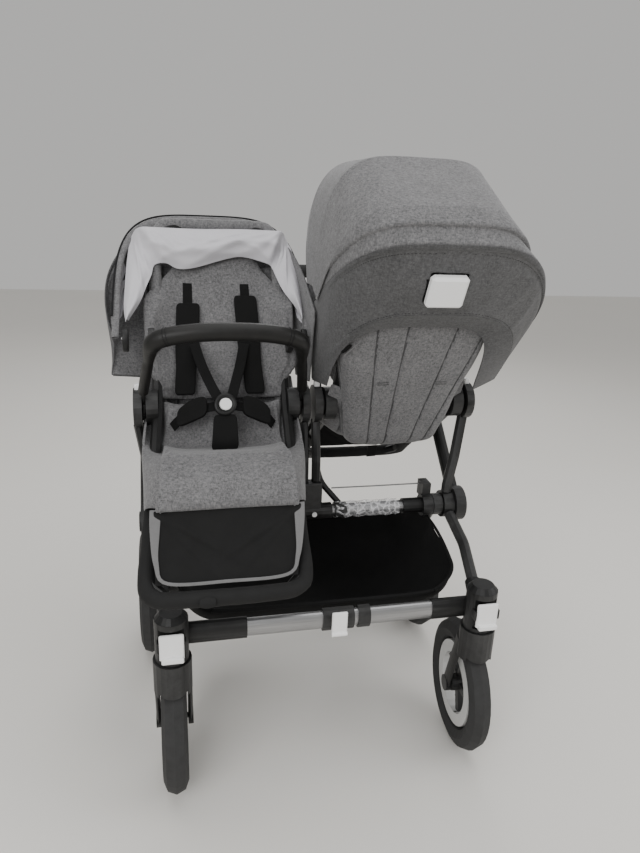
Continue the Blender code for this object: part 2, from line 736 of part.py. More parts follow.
def build_chassis(root):
    for side, word in ((-1, "left"), (1, "right")):
        place(f"front_leg_{word}", front_leg(side), "black_plastic", root)
        place(f"hub_{word}", hub(side), "black_plastic", root)
        place(f"side_post_{word}", side_post(side), "black_plastic", root)
        place(f"front_housing_{word}", front_housing(side), "black_plastic", root)
        tab = empty(f"swivel_tab_{word}_pivot", root, (0, SWIVEL_Y - 0.0245, 0.3430))
        place(f"swivel_tab_{word}", swivel_tab(side), "white_plastic", tab,
              (0, 0.0245 - SWIVEL_Y, -0.3430))
        head_x = SEAT_X + HEAD_GAP
        place(f"hinge_button_outer_{word}", hinge_button(side * (head_x + 0.0080)),
              "white_plastic", root)
        place(f"hinge_button_inner_{word}",
              hinge_button(side * (SEAT_X - HEAD_GAP - 0.0075)), "white_plastic", root)
    place("centre_post", centre_post(), "black_plastic", root)
    place("mid_bar", smooth(rod_x(-0.2047, 0.2047, MID_BAR_R, z=HUB_Z)),
          "brushed_aluminium", root)
    place("mid_button", smooth(rod((0.0080, -0.0158, HUB_Z), (0.0080, -0.0188, HUB_Z), 0.0053, 12)),
          "white_plastic", root)
    place("front_bar", front_bar(), "brushed_aluminium", root)
    place("front_clamp", front_clamp(), "black_plastic", root)
    place("front_clip", front_clip(), "white_plastic", root)
    place("frame_cable", frame_cable(), "steel_cable", root)
    place("basket", basket(), "black_fabric", root)


def build_rear(root):
    swing = empty("rear_leg_pivot", root, (0, 0, HUB_Z))
    back = (0, 0, -HUB_Z)
    wheel_tyre = tyre(REAR_R)
    wheel_rim = rim(REAR_R, 0.0065)
    for side, word in ((-1, "left"), (1, "right")):
        place(f"rear_leg_{word}", rear_leg(side), "black_plastic", swing, back)
        axle = empty(f"rear_axle_{word}", swing,
                     (side * REAR_WHEEL_X, REAR_AXLE[0], REAR_AXLE[1] - HUB_Z))
        place(f"rear_tyre_{word}", wheel_tyre, "tyre_rubber", axle)
        place(f"rear_rim_{word}", wheel_rim, "light_rim", axle)
    place("rear_bar", rear_bar(), "black_plastic", swing, back)
    place("brake_pedal", brake_pedal(), "black_plastic", swing, back)


def build_castors(root):
    wheel_tyre = tyre(FRONT_R)
    wheel_rim = rim(FRONT_R, 0.0055)
    wheel_fork = fork(0.0300)
    for side, word, turn in ((-1, "left", LEFT_SWIVEL_TURN), (1, "right", RIGHT_SWIVEL_TURN)):
        swivel = empty(f"swivel_{word}", root, (side * SWIVEL_X, SWIVEL_Y, 0), (0, 0, turn))
        place(f"fork_{word}", wheel_fork, "black_plastic", swivel)
        axle = empty(f"front_axle_{word}", swivel, (0, TRAIL, FRONT_R))
        place(f"front_tyre_{word}", wheel_tyre, "tyre_rubber", axle)
        place(f"front_rim_{word}", wheel_rim, "light_rim", axle)


def build_handle(root):
    swing = empty("handle_pivot", root, (0, 0, HUB_Z))
    back = (0, 0, -HUB_Z)
    for side, word in ((-1, "left"), (1, "right")):
        place(f"handle_tube_{word}", handle_tube(side), "black_plastic", swing, back)
    place("handle_bar", handle_bar(), "brushed_aluminium", swing, back)
    place("handle_grip", handle_grip(), "grip_foam", swing, back)


def build_seats(root):
    bumper_mesh = bumper_bar()
    harness_mesh, buckle_mesh, button_mesh = harness(), buckle(), buckle_button()
    handle_mesh, rear_mesh, hoop_mesh = recline_handle(), hood_rear(), hood_hoop()
    canopies = {"left": hood_canopy(-43.0, LEFT_HOOD_ANGLE - 3.5, [0.3000, 0.3120], 6, HOOD_W + 0.006,
                                    0.40, 4.0, HOOD_SHIFT, LINING_ROWS),
                "right": hood_canopy(-22.0, RIGHT_HOOD_ANGLE - 2.0, [HOOD_R], 8, HOOD_W - 0.0055,
                                     0.25, 3.4, -0.0035)}
    settings = {"left": (-SEAT_X, 0.0, LEFT_HOOD_ANGLE),
                "right": (SEAT_X, 180.0, RIGHT_HOOD_ANGLE)}
    for word, (seat_x, heading, hood_angle) in settings.items():
        spot = (seat_x, HINGE_Y, HINGE_Z)
        heading_pivot = empty(f"seat_{word}_heading", root, spot, (0, 0, heading))
        seat = empty(f"seat_{word}_hinge", heading_pivot, turn=(-SEAT_LEAN, 0, 0))
        place(f"seat_frame_{word}", seat_frame(FOOT_SHIFT[word]), "black_plastic", seat)
        place(f"seat_shell_{word}", seat_shell(FOOT_SHIFT[word]), "grey_fabric", seat)
        place(f"bumper_bar_{word}", bumper_mesh, "black_leatherette", seat)
        place(f"harness_{word}", harness_mesh, "black_webbing", seat)
        place(f"buckle_{word}", buckle_mesh, "black_plastic", seat)
        place(f"buckle_button_{word}", button_mesh, "white_plastic", seat)
        place(f"recline_handle_{word}", handle_mesh, "white_plastic", seat)
        place(f"hood_rear_{word}", rear_mesh, "grey_fabric", seat)
        place(f"hood_canopy_{word}", canopies[word], "grey_fabric", seat)
        pivot = empty(f"hood_{word}_pivot", seat, (0, *HOOD_PIVOT), (hood_angle, 0, 0))
        place(f"hood_hoop_{word}", hoop_mesh, "grey_fabric", pivot)


clear_scene()
model = new_collection("double_stroller")
workshop = new_collection("cutters")
materials = {name: new_material(name) for name in FINISHES}
stroller = empty("stroller", None, (-MIDDLE_X, -MIDDLE_Y, 0.0))
build_chassis(stroller)
build_rear(stroller)
build_castors(stroller)
build_handle(stroller)
build_seats(stroller)
bpy.context.view_layer.update()
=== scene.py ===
import math

import bpy
from mathutils import Matrix, Vector, noise


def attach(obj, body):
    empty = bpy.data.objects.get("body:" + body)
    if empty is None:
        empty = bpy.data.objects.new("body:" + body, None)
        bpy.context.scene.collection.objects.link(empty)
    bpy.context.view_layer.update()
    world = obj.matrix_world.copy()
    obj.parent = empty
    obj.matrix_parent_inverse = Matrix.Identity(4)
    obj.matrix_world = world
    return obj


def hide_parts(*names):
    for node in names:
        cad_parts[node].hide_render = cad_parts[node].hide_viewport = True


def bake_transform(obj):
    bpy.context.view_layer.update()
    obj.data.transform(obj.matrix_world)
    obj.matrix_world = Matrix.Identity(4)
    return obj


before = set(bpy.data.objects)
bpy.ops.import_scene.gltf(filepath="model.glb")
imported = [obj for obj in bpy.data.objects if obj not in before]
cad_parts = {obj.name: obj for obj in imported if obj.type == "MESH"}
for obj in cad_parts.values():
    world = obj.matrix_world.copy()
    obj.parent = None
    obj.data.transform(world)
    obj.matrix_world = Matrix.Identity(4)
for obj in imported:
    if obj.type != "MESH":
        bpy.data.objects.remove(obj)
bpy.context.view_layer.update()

print("camera")

cameraSettings = {"spot": (-0.2697, -1.3071, 1.0541), "yaw": 0.2292, "pitch": 0.3237, "roll": 0.0416,
                  "focalPixels": 656.78, "imageHeight": 853, "sensor": 36.0, "near": 0.05, "far": 60.0}


def standCamera(cfg):
    yaw, pitch, roll = cfg["yaw"], cfg["pitch"], cfg["roll"]
    ahead = Vector((math.sin(yaw) * math.cos(pitch), math.cos(yaw) * math.cos(pitch), -math.sin(pitch)))
    right = Vector((math.cos(yaw), -math.sin(yaw), 0))
    up = right.cross(ahead)
    leanRight = right * math.cos(roll) + up * math.sin(roll)
    leanUp = -right * math.sin(roll) + up * math.cos(roll)
    turn = Matrix((leanRight, leanUp, -ahead)).transposed().to_4x4()
    data = bpy.data.cameras.new("photoCamera")
    data.sensor_width = cfg["sensor"]
    data.lens = cfg["sensor"] * cfg["focalPixels"] / cfg["imageHeight"]
    data.clip_start, data.clip_end = cfg["near"], cfg["far"]
    camera = bpy.data.objects.new("photoCamera", data)
    camera.matrix_world = Matrix.Translation(cfg["spot"]) @ turn
    bpy.context.collection.objects.link(camera)
    bpy.context.scene.camera = camera


standCamera(cameraSettings)

print("shared effects")


def opaque(tone):  # a grey level or a colour, as a full colour
    return (tone, tone, tone, 1) if isinstance(tone, float) else (*tone, 1)


def wire(tree, value, socket):
    # an output is linked to the socket, anything else is the socket's own value
    if isinstance(value, bpy.types.NodeSocket):
        tree.links.new(value, socket)
    else:
        socket.default_value = value


def nodeOf(tree, kind, inputs, **values):
    node = tree.nodes.new(f"ShaderNode{kind}")
    for key, value in values.items():
        setattr(node, key, value)
    for key, value in inputs.items():
        wire(tree, value, node.inputs[key])
    return node


def mathOf(tree, operation, *values, **more):
    return nodeOf(tree, "Math", dict(enumerate(values)), operation=operation, **more).outputs[0]


def vectorOf(tree, operation, first, second):
    return nodeOf(tree, "VectorMath", {0: first, 1: second}, operation=operation).outputs[0]


def noiseOf(tree, vector, scale, detail=2.0, rough=0.5):
    return nodeOf(tree, "TexNoise", {"Vector": vector, "Scale": scale, "Detail": detail,
                                     "Roughness": rough}).outputs["Fac"]


def cellsOf(tree, vector, scale):  # the distance to the nearest edge between cells
    return nodeOf(tree, "TexVoronoi", {"Vector": vector, "Scale": scale},
                  feature="DISTANCE_TO_EDGE").outputs["Distance"]


def mixOf(tree, factor, dark, light):
    dark, light = (tone if isinstance(tone, bpy.types.NodeSocket) else opaque(tone) for tone in (dark, light))
    return nodeOf(tree, "Mix", {0: factor, 6: dark, 7: light}, data_type="RGBA").outputs[2]


def rangeOf(tree, value, low, high, fromLow=0.0, fromHigh=1.0):
    return nodeOf(tree, "MapRange", {"Value": value, "From Min": fromLow, "From Max": fromHigh,
                                     "To Min": low, "To Max": high}).outputs[0]


def sumOf(tree, *shares):  # the sum of some values, each times its own share
    total = None
    for value, share in shares:
        part = mathOf(tree, "MULTIPLY", value, share)
        total = mathOf(tree, "ADD", total, part) if total is not None else part
    return total


def newEffect(name, inputs, outputs):
    # an input without a default is a vector; the outputs are given with their kinds
    tree = bpy.data.node_groups.new(name, "ShaderNodeTree")
    for label, default in inputs.items():
        kind = "Vector" if default is None else "Color" if isinstance(default, tuple) else "Float"
        socket = tree.interface.new_socket(label, in_out="INPUT", socket_type=f"NodeSocket{kind}")
        if default is not None:
            socket.default_value = default
    for label, kind in outputs.items():
        tree.interface.new_socket(label, in_out="OUTPUT", socket_type=f"NodeSocket{kind}")
    return tree, tree.nodes.new("NodeGroupInput").outputs, tree.nodes.new("NodeGroupOutput").inputs


def buildHeather():
    # mottled yarn: light and dark fibres crossing, over a slow cloudy drift
    tree, given, out = newEffect(
        "heatherYarn", {"Vector": None, "Dark": opaque(0.05), "Light": opaque(0.2), "Yarn": 620.0,
                        "Contrast": 3.4}, {"Color": "Color", "Height": "Float"})
    where, yarn = given["Vector"], given["Yarn"]
    warp = noiseOf(tree, vectorOf(tree, "MULTIPLY", where, (1, 1, 0.22)), yarn)
    weft = noiseOf(tree, vectorOf(tree, "MULTIPLY", where, (0.22, 0.22, 1)), yarn)
    blotch = noiseOf(tree, vectorOf(tree, "MULTIPLY", where, (1, 1, 0.55)), 260.0, 3.0, 0.75)
    drift = noiseOf(tree, where, 22.0, 3.0)
    fibres = sumOf(tree, (warp, 0.24), (weft, 0.24), (blotch, 0.42), (drift, 0.1))
    spread = mathOf(tree, "MULTIPLY", mathOf(tree, "SUBTRACT", fibres, 0.5), given["Contrast"])
    amount = mathOf(tree, "ADD", spread, 0.5, use_clamp=True)
    wire(tree, mixOf(tree, amount, given["Dark"], given["Light"]), out["Color"])
    wire(tree, sumOf(tree, (warp, 0.5), (weft, 0.5)), out["Height"])
    return tree


def buildMould():
    # fine spark-eroded grain of moulded plastic and its rubbed edges
    tree, given, out = newEffect("mouldGrain", {"Vector": None, "Size": 900.0},
                                 {"Height": "Float", "Rub": "Float", "Edge": "Float"})
    scuff = noiseOf(tree, given["Vector"], 60.0, 4.0, 0.7)
    shape = nodeOf(tree, "NewGeometry", {})
    edge = rangeOf(tree, shape.outputs["Pointiness"], 0.0, 1.0, 0.53, 0.62)
    wire(tree, noiseOf(tree, given["Vector"], given["Size"], 3.0, 0.6), out["Height"])
    wire(tree, scuff, out["Rub"])
    wire(tree, mathOf(tree, "MULTIPLY", edge, scuff), out["Edge"])
    return tree


def buildWebbing():
    # tight ribbed weave of webbing and plain black cloth
    tree, given, out = newEffect("ribWeave", {"Vector": None, "Ribs": 700.0},
                                 {"Shade": "Float", "Height": "Float"})
    where, ribs = given["Vector"], given["Ribs"]
    parts = nodeOf(tree, "SeparateXYZ", {0: where}).outputs
    waves = [mathOf(tree, "SINE", mathOf(tree, "MULTIPLY", way, mathOf(tree, "MULTIPLY", ribs, 3.1)))
             for way in (parts[0], mathOf(tree, "ADD", parts[1], parts[2]))]
    weave = mathOf(tree, "MULTIPLY", *waves)
    fuzz = noiseOf(tree, where, ribs)
    cloud = noiseOf(tree, where, 30.0, 3.0, 0.6)
    wire(tree, sumOf(tree, (fuzz, 0.45), (cloud, 0.55)), out["Shade"])
    wire(tree, mathOf(tree, "ADD", mathOf(tree, "MULTIPLY", weave, 0.35), fuzz), out["Height"])
    return tree


effects = {"heather": buildHeather(), "mould": buildMould(), "webbing": buildWebbing()}

print("finishes")


def startFinish(name, rough, **more):
    mat = bpy.data.materials.new(name)
    mat.use_nodes = True
    tree = mat.node_tree
    shader = tree.nodes["Principled BSDF"].inputs
    for label, value in {"Roughness": rough, **more}.items():
        shader[label.replace("_", " ")].default_value = value
    return mat, tree, shader, nodeOf(tree, "TexCoord", {}).outputs["Object"]


def useEffect(tree, effect, where, **values):
    node = tree.nodes.new("ShaderNodeGroup")
    node.node_tree = effects[effect]
    for label, value in {"Vector": where, **values}.items():
        wire(tree, value, node.inputs[label])
    return node.outputs


def raiseBump(tree, shader, height, strength, distance):
    bump = nodeOf(tree, "Bump", {"Strength": strength, "Distance": distance, "Height": height})
    wire(tree, bump.outputs["Normal"], shader["Normal"])


def heatherFinish(name, dark, light):
    mat, tree, shader, where = startFinish(name, 0.93, Sheen_Weight=0.18, Sheen_Roughness=0.5)
    yarn = useEffect(tree, "heather", where, Dark=opaque(dark), Light=opaque(light))
    wire(tree, yarn["Color"], shader["Base Color"])
    raiseBump(tree, shader, yarn["Height"], 0.35, 0.0012)
    return mat


def weaveFinish(name, dark, light, rough, ribs, bump=0.35, sheen=0.012):
    mat, tree, shader, where = startFinish(name, rough, Sheen_Weight=sheen, Specular_IOR_Level=0.12)
    weave = useEffect(tree, "webbing", where, Ribs=ribs)
    wire(tree, mixOf(tree, weave["Shade"], dark, light), shader["Base Color"])
    raiseBump(tree, shader, weave["Height"], bump, 0.001)
    return mat


def mouldFinish(name, dark, light, roughLow, roughHigh, bump, size, worn):
    mat, tree, shader, where = startFinish(name, roughLow, Specular_IOR_Level=0.34)
    grain = useEffect(tree, "mould", where, Size=size)
    tint = mixOf(tree, grain["Rub"], dark, light)
    wire(tree, mixOf(tree, grain["Edge"], tint, worn), shader["Base Color"])
    wire(tree, rangeOf(tree, grain["Rub"], roughLow, roughHigh), shader["Roughness"])
    raiseBump(tree, shader, grain["Height"], bump, 0.0006)
    return mat


def brushedFinish():
    mat, tree, shader, where = startFinish("brushedSilver", 0.3, Metallic=1.0)
    brush = noiseOf(tree, vectorOf(tree, "MULTIPLY", where, (14, 700, 700)), 1.0, 3.0, 0.6)
    haze = noiseOf(tree, where, 40.0, 3.0)
    wire(tree, mixOf(tree, brush, (0.27, 0.27, 0.275), (0.46, 0.46, 0.465)), shader["Base Color"])
    wire(tree, rangeOf(tree, haze, 0.3, 0.46), shader["Roughness"])
    raiseBump(tree, shader, brush, 0.08, 0.0004)
    return mat


def leatheretteFinish():
    mat, tree, shader, where = startFinish("blackLeatherette", 0.42, Coat_Weight=0.03, Specular_IOR_Level=0.28)
    rub = noiseOf(tree, where, 40.0, 3.0)
    wire(tree, mixOf(tree, rub, (0.006, 0.006, 0.0057), (0.014, 0.0134, 0.0125)), shader["Base Color"])
    wire(tree, rangeOf(tree, rub, 0.34, 0.52), shader["Roughness"])
    raiseBump(tree, shader, cellsOf(tree, where, 640.0), 0.35, 0.0008)
    return mat


def rimFinish(name, node, ring):
    # a light ring outside the given radius and black spokes and hub inside it
    middle = sum((Vector(c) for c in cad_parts[node].bound_box), Vector()) / 8
    mat, tree, shader, where = startFinish(name, 0.42)
    grain = useEffect(tree, "mould", where, Size=900.0)
    away = vectorOf(tree, "MULTIPLY", vectorOf(tree, "SUBTRACT", where, middle), (0, 1, 1))
    length = nodeOf(tree, "VectorMath", {0: away}, operation="LENGTH").outputs["Value"]
    dark = mixOf(tree, grain["Rub"], 0.009, 0.02)
    light = mixOf(tree, grain["Rub"], (0.5, 0.5, 0.49), (0.62, 0.62, 0.61))
    wire(tree, mixOf(tree, mathOf(tree, "GREATER_THAN", length, ring), dark, light), shader["Base Color"])
    wire(tree, rangeOf(tree, grain["Rub"], 0.36, 0.52), shader["Roughness"])
    raiseBump(tree, shader, grain["Height"], 0.08, 0.0006)
    return mat


def filmFinish():
    # the white base colour, made more opaque along the crumple creases, paints the film's glints: painted highlight,
    # along with the film's own slight milkiness
    mat, tree, shader, where = startFinish("clearFilm", 0.12, Base_Color=(0.92, 0.92, 0.94, 1), IOR=1.45)
    crumpleAndGlint = cellsOf(tree, where, 75.0)
    wire(tree, rangeOf(tree, crumpleAndGlint, 0.6, 0.16, 0.0, 0.16), shader["Alpha"])
    raiseBump(tree, shader, crumpleAndGlint, 0.9, 0.004)
    return mat


finish = {  # heather: dark and light tone
    "heather": heatherFinish("heatherGrey", (0.048, 0.048, 0.05), (0.225, 0.222, 0.226)),
    # a darker copy of the same heather: painted shade, worn by the hood skirt's inner side
    "heatherPaintedShade": heatherFinish("heatherGreyPaintedShade", (0.034, 0.034, 0.035), (0.12, 0.119, 0.121)),
    "heatherBand": heatherFinish("heatherGreyBand", (0.026, 0.026, 0.027), (0.105, 0.104, 0.106)),
    "heatherSeam": heatherFinish("heatherGreySeam", (0.022, 0.022, 0.023), (0.075, 0.074, 0.076)),
    # weave: dark and light tone, roughness, ribs, bump, sheen
    "lining": weaveFinish("paleLining", (0.53, 0.52, 0.55), (0.64, 0.63, 0.66), 0.85, 1100.0, 0.12, 0.05),
    "legCloth": weaveFinish("blackLegCloth", 0.009, 0.018, 0.78, 800.0, 0.25),
    "loopCloth": weaveFinish("blackLoopCover", 0.012, 0.026, 0.7, 700.0, 0.3),
    "basketCloth": weaveFinish("blackBasketCloth", 0.006, 0.014, 0.8, 800.0, 0.3),
    "webbing": weaveFinish("blackWebbing", 0.004, 0.011, 0.72, 1000.0, 0.5),
    "padCloth": weaveFinish("blackPadCloth", 0.005, 0.012, 0.85, 900.0, 0.3),
    "binding": weaveFinish("lightBinding", (0.12, 0.12, 0.121), (0.23, 0.228, 0.23), 0.8, 900.0, 0.4),
    "piping": weaveFinish("blackPiping", (0.009, 0.009, 0.01), (0.018, 0.018, 0.019), 0.7, 1200.0, 0.3),
    # mould: dark and light tone, lowest and highest roughness, bump, grain size, worn tone
    "blackPlastic": mouldFinish("blackPlasticGrain", 0.005, 0.011, 0.34, 0.55, 0.12, 900.0, 0.06),
    "blackPaint": mouldFinish("blackTubePaint", 0.006, 0.012, 0.3, 0.44, 0.06, 1500.0, 0.07),
    "whitePlastic": mouldFinish("whitePlasticGrain", (0.88, 0.88, 0.87), (0.95, 0.95, 0.94), 0.36, 0.5, 0.06,
                                1100.0, 0.9),
    "tyre": mouldFinish("tyreFoamRubber", 0.016, 0.03, 0.7, 0.88, 0.5, 600.0, 0.06),
    "rim": mouldFinish("lightRimPlastic", 0.46, 0.58, 0.36, 0.52, 0.08, 1000.0, 0.65),
    "spoke": mouldFinish("blackSpokePlastic", 0.01, 0.02, 0.4, 0.55, 0.1, 900.0, 0.06),
    "grip": mouldFinish("gripFoam", 0.014, 0.026, 0.75, 0.92, 0.8, 500.0, 0.04),
    "cable": mouldFinish("steelCableStrands", 0.12, 0.22, 0.35, 0.5, 0.4, 2500.0, 0.22),
    # rim: the node it goes on and the radius where its light ring starts
    "frontRim": rimFinish("frontRimTwoTone", "front_rim_left", 0.0605),
    "rearRim": rimFinish("rearRimTwoTone", "rear_rim_left", 0.08),
    "silver": brushedFinish(), "leatherette": leatheretteFinish(), "film": filmFinish()}

print("ways of making")

# seat space has the hinge as its origin, the backrest upright and the sitter facing -Y
seatSettings = {"across": 0.1748, "hinge": (-0.0516, 0.672), "lean": -25.0, "footShift": -0.0185,
                "footDepth": 0.3465, "headings": {"left": 0.0, "right": 180.0}}
seatStand = {}
for word, side in (("left", -1), ("right", 1)):
    seatStand[word] = (Matrix.Translation((side * seatSettings["across"], *seatSettings["hinge"]))
                       @ Matrix.Rotation(math.radians(seatSettings["headings"][word]), 4, "Z")
                       @ Matrix.Rotation(math.radians(seatSettings["lean"]), 4, "X"))


def easeStep(t):
    t = min(1.0, max(0.0, t))
    return t * t * (3 - 2 * t)


def swellAt(t, centre, width):
    return math.exp(-((t - centre) / width) ** 2)


def curvePoint(pts, k, t):
    # between points k and k + 1 of a soft curve through all the points
    a = pts[k - 1] if k else pts[0] * 2 - pts[1]
    b, c = pts[k], pts[k + 1]
    d = pts[k + 2] if k + 2 < len(pts) else c * 2 - b
    return 0.5 * ((2 * b) + (c - a) * t + (2 * a - 5 * b + 4 * c - d) * t * t
                  + (3 * b - a - 3 * c + d) * t ** 3)


def smoothLine(points, count):
    # a soft line through the points, evenly spaced
    pts = [Vector(p) for p in points]
    dense = [curvePoint(pts, i, k / 12) for i in range(len(pts) - 1) for k in range(12)] + [pts[-1]]
    lengths = [0.0]
    for p, q in zip(dense, dense[1:]):
        lengths.append(lengths[-1] + (q - p).length)
    out, at = [], 0
    for i in range(count):
        goal = lengths[-1] * i / (count - 1)
        while at < len(dense) - 2 and lengths[at + 1] < goal:
            at += 1
        span = lengths[at + 1] - lengths[at] or 1e-9
        out.append(dense[at].lerp(dense[at + 1], min(1.0, (goal - lengths[at]) / span)))
    return out


def sideLine(points, count):  # a soft line in the seat's middle plane, from (y, z) points
    return smoothLine([(0, y, z) for y, z in points], count)


def matchedLine(points, count):
    # the given points keep even places, so that two edges stay matched
    pts = [Vector(p) for p in points]
    places = [(len(pts) - 1) * i / (count - 1) for i in range(count)]
    return [curvePoint(pts, min(int(at), len(pts) - 2), at - min(int(at), len(pts) - 2)) for at in places]


def bothSides(half, middle):
    return half + [middle] + [(-x, y, z) for x, y, z in half[::-1]]


def pointOn(line, t):
    at = min(max(t, 0.0), 1.0) * (len(line) - 1)
    i = min(int(at), len(line) - 2)
    return line[i].lerp(line[i + 1], at - i)


def aheadOn(line, t):
    return (pointOn(line, t + 0.02) - pointOn(line, t - 0.02)).normalized()


def deselectEverything():
    if bpy.context.mode != "OBJECT":
        bpy.ops.object.mode_set(mode="OBJECT")
    bpy.ops.object.select_all(action="DESELECT")


def takeUp(piece):  # the one selected and active piece
    deselectEverything()
    piece.select_set(True)
    bpy.context.view_layer.objects.active = piece


def applyModifier(piece, kind, **values):
    takeUp(piece)
    modifier = piece.modifiers.new(kind.title(), kind)
    for key, value in values.items():
        setattr(modifier, key, value)
    bpy.ops.object.modifier_apply(modifier=modifier.name)


def layCloth(name, across, along, shape, thick=None):
    # a grid of cloth whose points go where the shape says, u across and v along
    deselectEverything()
    bpy.ops.mesh.primitive_grid_add(x_subdivisions=across, y_subdivisions=along, size=2)
    piece = bpy.context.object
    piece.name = name
    for vertex in piece.data.vertices:
        vertex.co = shape((vertex.co.x + 1) / 2, (vertex.co.y + 1) / 2)
    if thick:
        applyModifier(piece, "SOLIDIFY", thickness=thick, offset=0.0)
    return piece


def turnOutward(piece):
    takeUp(piece)
    bpy.ops.object.mode_set(mode="EDIT")
    bpy.ops.mesh.select_all(action="SELECT")
    bpy.ops.mesh.remove_doubles(threshold=0.00001)
    bpy.ops.mesh.normals_make_consistent(inside=False)
    bpy.ops.object.mode_set(mode="OBJECT")


def smoothOver(piece, angle):
    takeUp(piece)
    bpy.ops.object.shade_smooth_by_angle(angle=math.radians(angle))


def dress(piece, *names):
    piece.data.materials.clear()
    for name in names:
        piece.data.materials.append(finish[name])
    return piece


def crease(piece, size, deep):
    for vertex in piece.data.vertices:
        vertex.co += vertex.normal * deep * noise.noise(vertex.co * size)
    return piece


def thickCloth(piece, thickness, inner=0):
    # inner is the finish that its inner side and its edge wear
    applyModifier(piece, "SOLIDIFY", thickness=thickness, offset=0.0, use_even_offset=False,
                  material_offset=inner, material_offset_rim=inner, use_rim=True)
    applyModifier(piece, "SUBSURF", levels=1, render_levels=1)
    smoothOver(piece, 60)
    return piece


def tubeAlong(name, points, radius, radii=None, closed=False, roundness=3):
    line = bpy.data.curves.new(name, "CURVE")
    line.dimensions = "3D"
    line.bevel_depth, line.bevel_resolution, line.use_fill_caps = radius, roundness, True
    spline = line.splines.new("POLY")
    spline.points.add(len(points) - 1)
    spline.use_cyclic_u = closed
    for i, (spot, place) in enumerate(zip(spline.points, points)):
        spot.co = (*place, 1)
        spot.radius = radii[i] if radii else 1.0
    piece = bpy.data.objects.new(name, line)
    bpy.context.collection.objects.link(piece)
    takeUp(piece)
    bpy.ops.object.convert(target="MESH")
    piece = bpy.context.object
    smoothOver(piece, 60)
    return piece


def roundedEnd(v, tip, blunt):
    # the share of a strip's width at v, with its ends rounded over tip down to blunt
    reach = min(v, 1 - v) / tip
    return blunt + (1 - blunt) * math.sqrt(max(0.0, 1 - (1 - reach) ** 2)) if reach < 1 else 1.0


def strapAlong(name, points, width, thickness, facing, count=24, ends=0.0):
    # flat webbing, its broad side to facing; ends rounds its two ends off
    line = smoothLine(points, count)
    widths = width if callable(width) else (lambda t: width)

    def shape(u, v):
        side = aheadOn(line, v).cross(Vector(facing)).normalized()
        half = widths(v) / 2
        if ends:
            half *= max(math.sqrt(0.02), roundedEnd(v, ends, 0.0))
        return pointOn(line, v) + side * (2 * u - 1) * half

    piece = layCloth(name, 6, count, shape, thickness)
    applyModifier(piece, "BEVEL", width=thickness * 0.3, segments=2)
    smoothOver(piece, 40)
    return piece


def stuffedPad(name, points, width, side, cfg):
    # a padded strip on a strap: width is its half width along it, side the way that goes
    line = smoothLine(points, cfg["points"])

    def shape(u, v):
        half = width(v) * roundedEnd(v, cfg["tip"], cfg["blunt"])
        t = 2 * u - 1
        return pointOn(line, v) + Vector(side) * t * half + Vector((0, cfg.get("hollow", 0.0) * t * t, 0))
    piece = layCloth(name, 10, cfg["rows"], shape, cfg["thick"])
    applyModifier(piece, "BEVEL", width=cfg["bevel"], segments=2)
    applyModifier(piece, "SUBSURF", levels=1, render_levels=1)
    smoothOver(piece, 60)
    return piece


def turnedDisc(radius, depth, spot=(0, 0, 0), turn=(0, 0, 0), sides=48):
    deselectEverything()
    bpy.ops.mesh.primitive_cylinder_add(vertices=sides, radius=radius, depth=depth, location=spot, rotation=turn)
    bpy.ops.object.transform_apply(location=True, rotation=True)
    return bpy.context.object


def joinPieces(name, pieces):
    deselectEverything()
    for piece in pieces:
        piece.select_set(True)
    bpy.context.view_layer.objects.active = pieces[0]
    bpy.ops.object.join()
    pieces[0].name = name
    return pieces[0]


def pairUp(piece, body, replaced=None):
    # copies a piece made in seat space to both seats and stands it there;
    # the left seat's foot leans to its outer side, as in the photograph
    base = piece.name
    other = piece.copy()
    other.data = piece.data.copy()
    bpy.context.collection.objects.link(other)
    made = {"left": piece, "right": other}
    for word, one in made.items():
        one.name = f"{base}_{word}"
        if word == "left":
            for vertex in one.data.vertices:
                vertex.co.x += seatSettings["footShift"] * max(0.0, -vertex.co.z) / seatSettings["footDepth"]
        one.data.transform(seatStand[word])
        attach(one, f"{body}_{word}")
        if replaced:
            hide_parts(f"{replaced}_{word}")
    return made


plumpSettings = {"pressure": 4.0, "voxel": 0.005, "frames": 20, "cap": 0.006}


def plumpUp(piece, cfg):
    # the sewn cover is blown up a little like a filled pad
    applyModifier(piece, "REMESH", mode="VOXEL", voxel_size=cfg["voxel"])
    start = [v.co.copy() for v in piece.data.vertices]
    cloth = piece.modifiers.new("Cloth", "CLOTH")
    cloth.settings.use_pressure = True
    cloth.settings.uniform_pressure_force = cfg["pressure"]
    cloth.settings.effector_weights.gravity = 0.0
    cloth.point_cache.frame_start, cloth.point_cache.frame_end = 1, cfg["frames"]
    scene = bpy.context.scene
    for number in range(1, cfg["frames"] + 1):
        scene.frame_set(number)
    grown = piece.evaluated_get(bpy.context.evaluated_depsgraph_get()).to_mesh()
    ends = [v.co.copy() for v in grown.vertices]
    piece.modifiers.remove(cloth)
    scene.frame_set(1)
    for vertex, was, now in zip(piece.data.vertices, start, ends):
        step = now - was
        if step.length > cfg["cap"]:
            step *= cfg["cap"] / step.length
        vertex.co = was + step
    applyModifier(piece, "SUBSURF", levels=1, render_levels=1)
    smoothOver(piece, 80)


def pointGap(p, a, b):
    run = b - a
    t = max(0.0, min(1.0, (p - a).dot(run) / max(run.length_squared, 1e-12)))
    return (a + run * t - p).length


def pressSeam(piece, line, depth, width, facing):
    # draws the surface in along a sewn line, on the side that looks to facing
    piece.data.update()
    line = [Vector(p) for p in line]
    places = [(v.co.copy(), v.normal.copy()) for v in piece.data.vertices]
    for vertex, (place, normal) in zip(piece.data.vertices, places):
        if normal.dot(Vector(facing)) < 0.1:
            continue
        near = min(pointGap(place, a, b) for a, b in zip(line, line[1:]))
        if near < 3 * width:
            vertex.co = place - normal * depth * math.exp(-(near / width) ** 2)


print("studio")

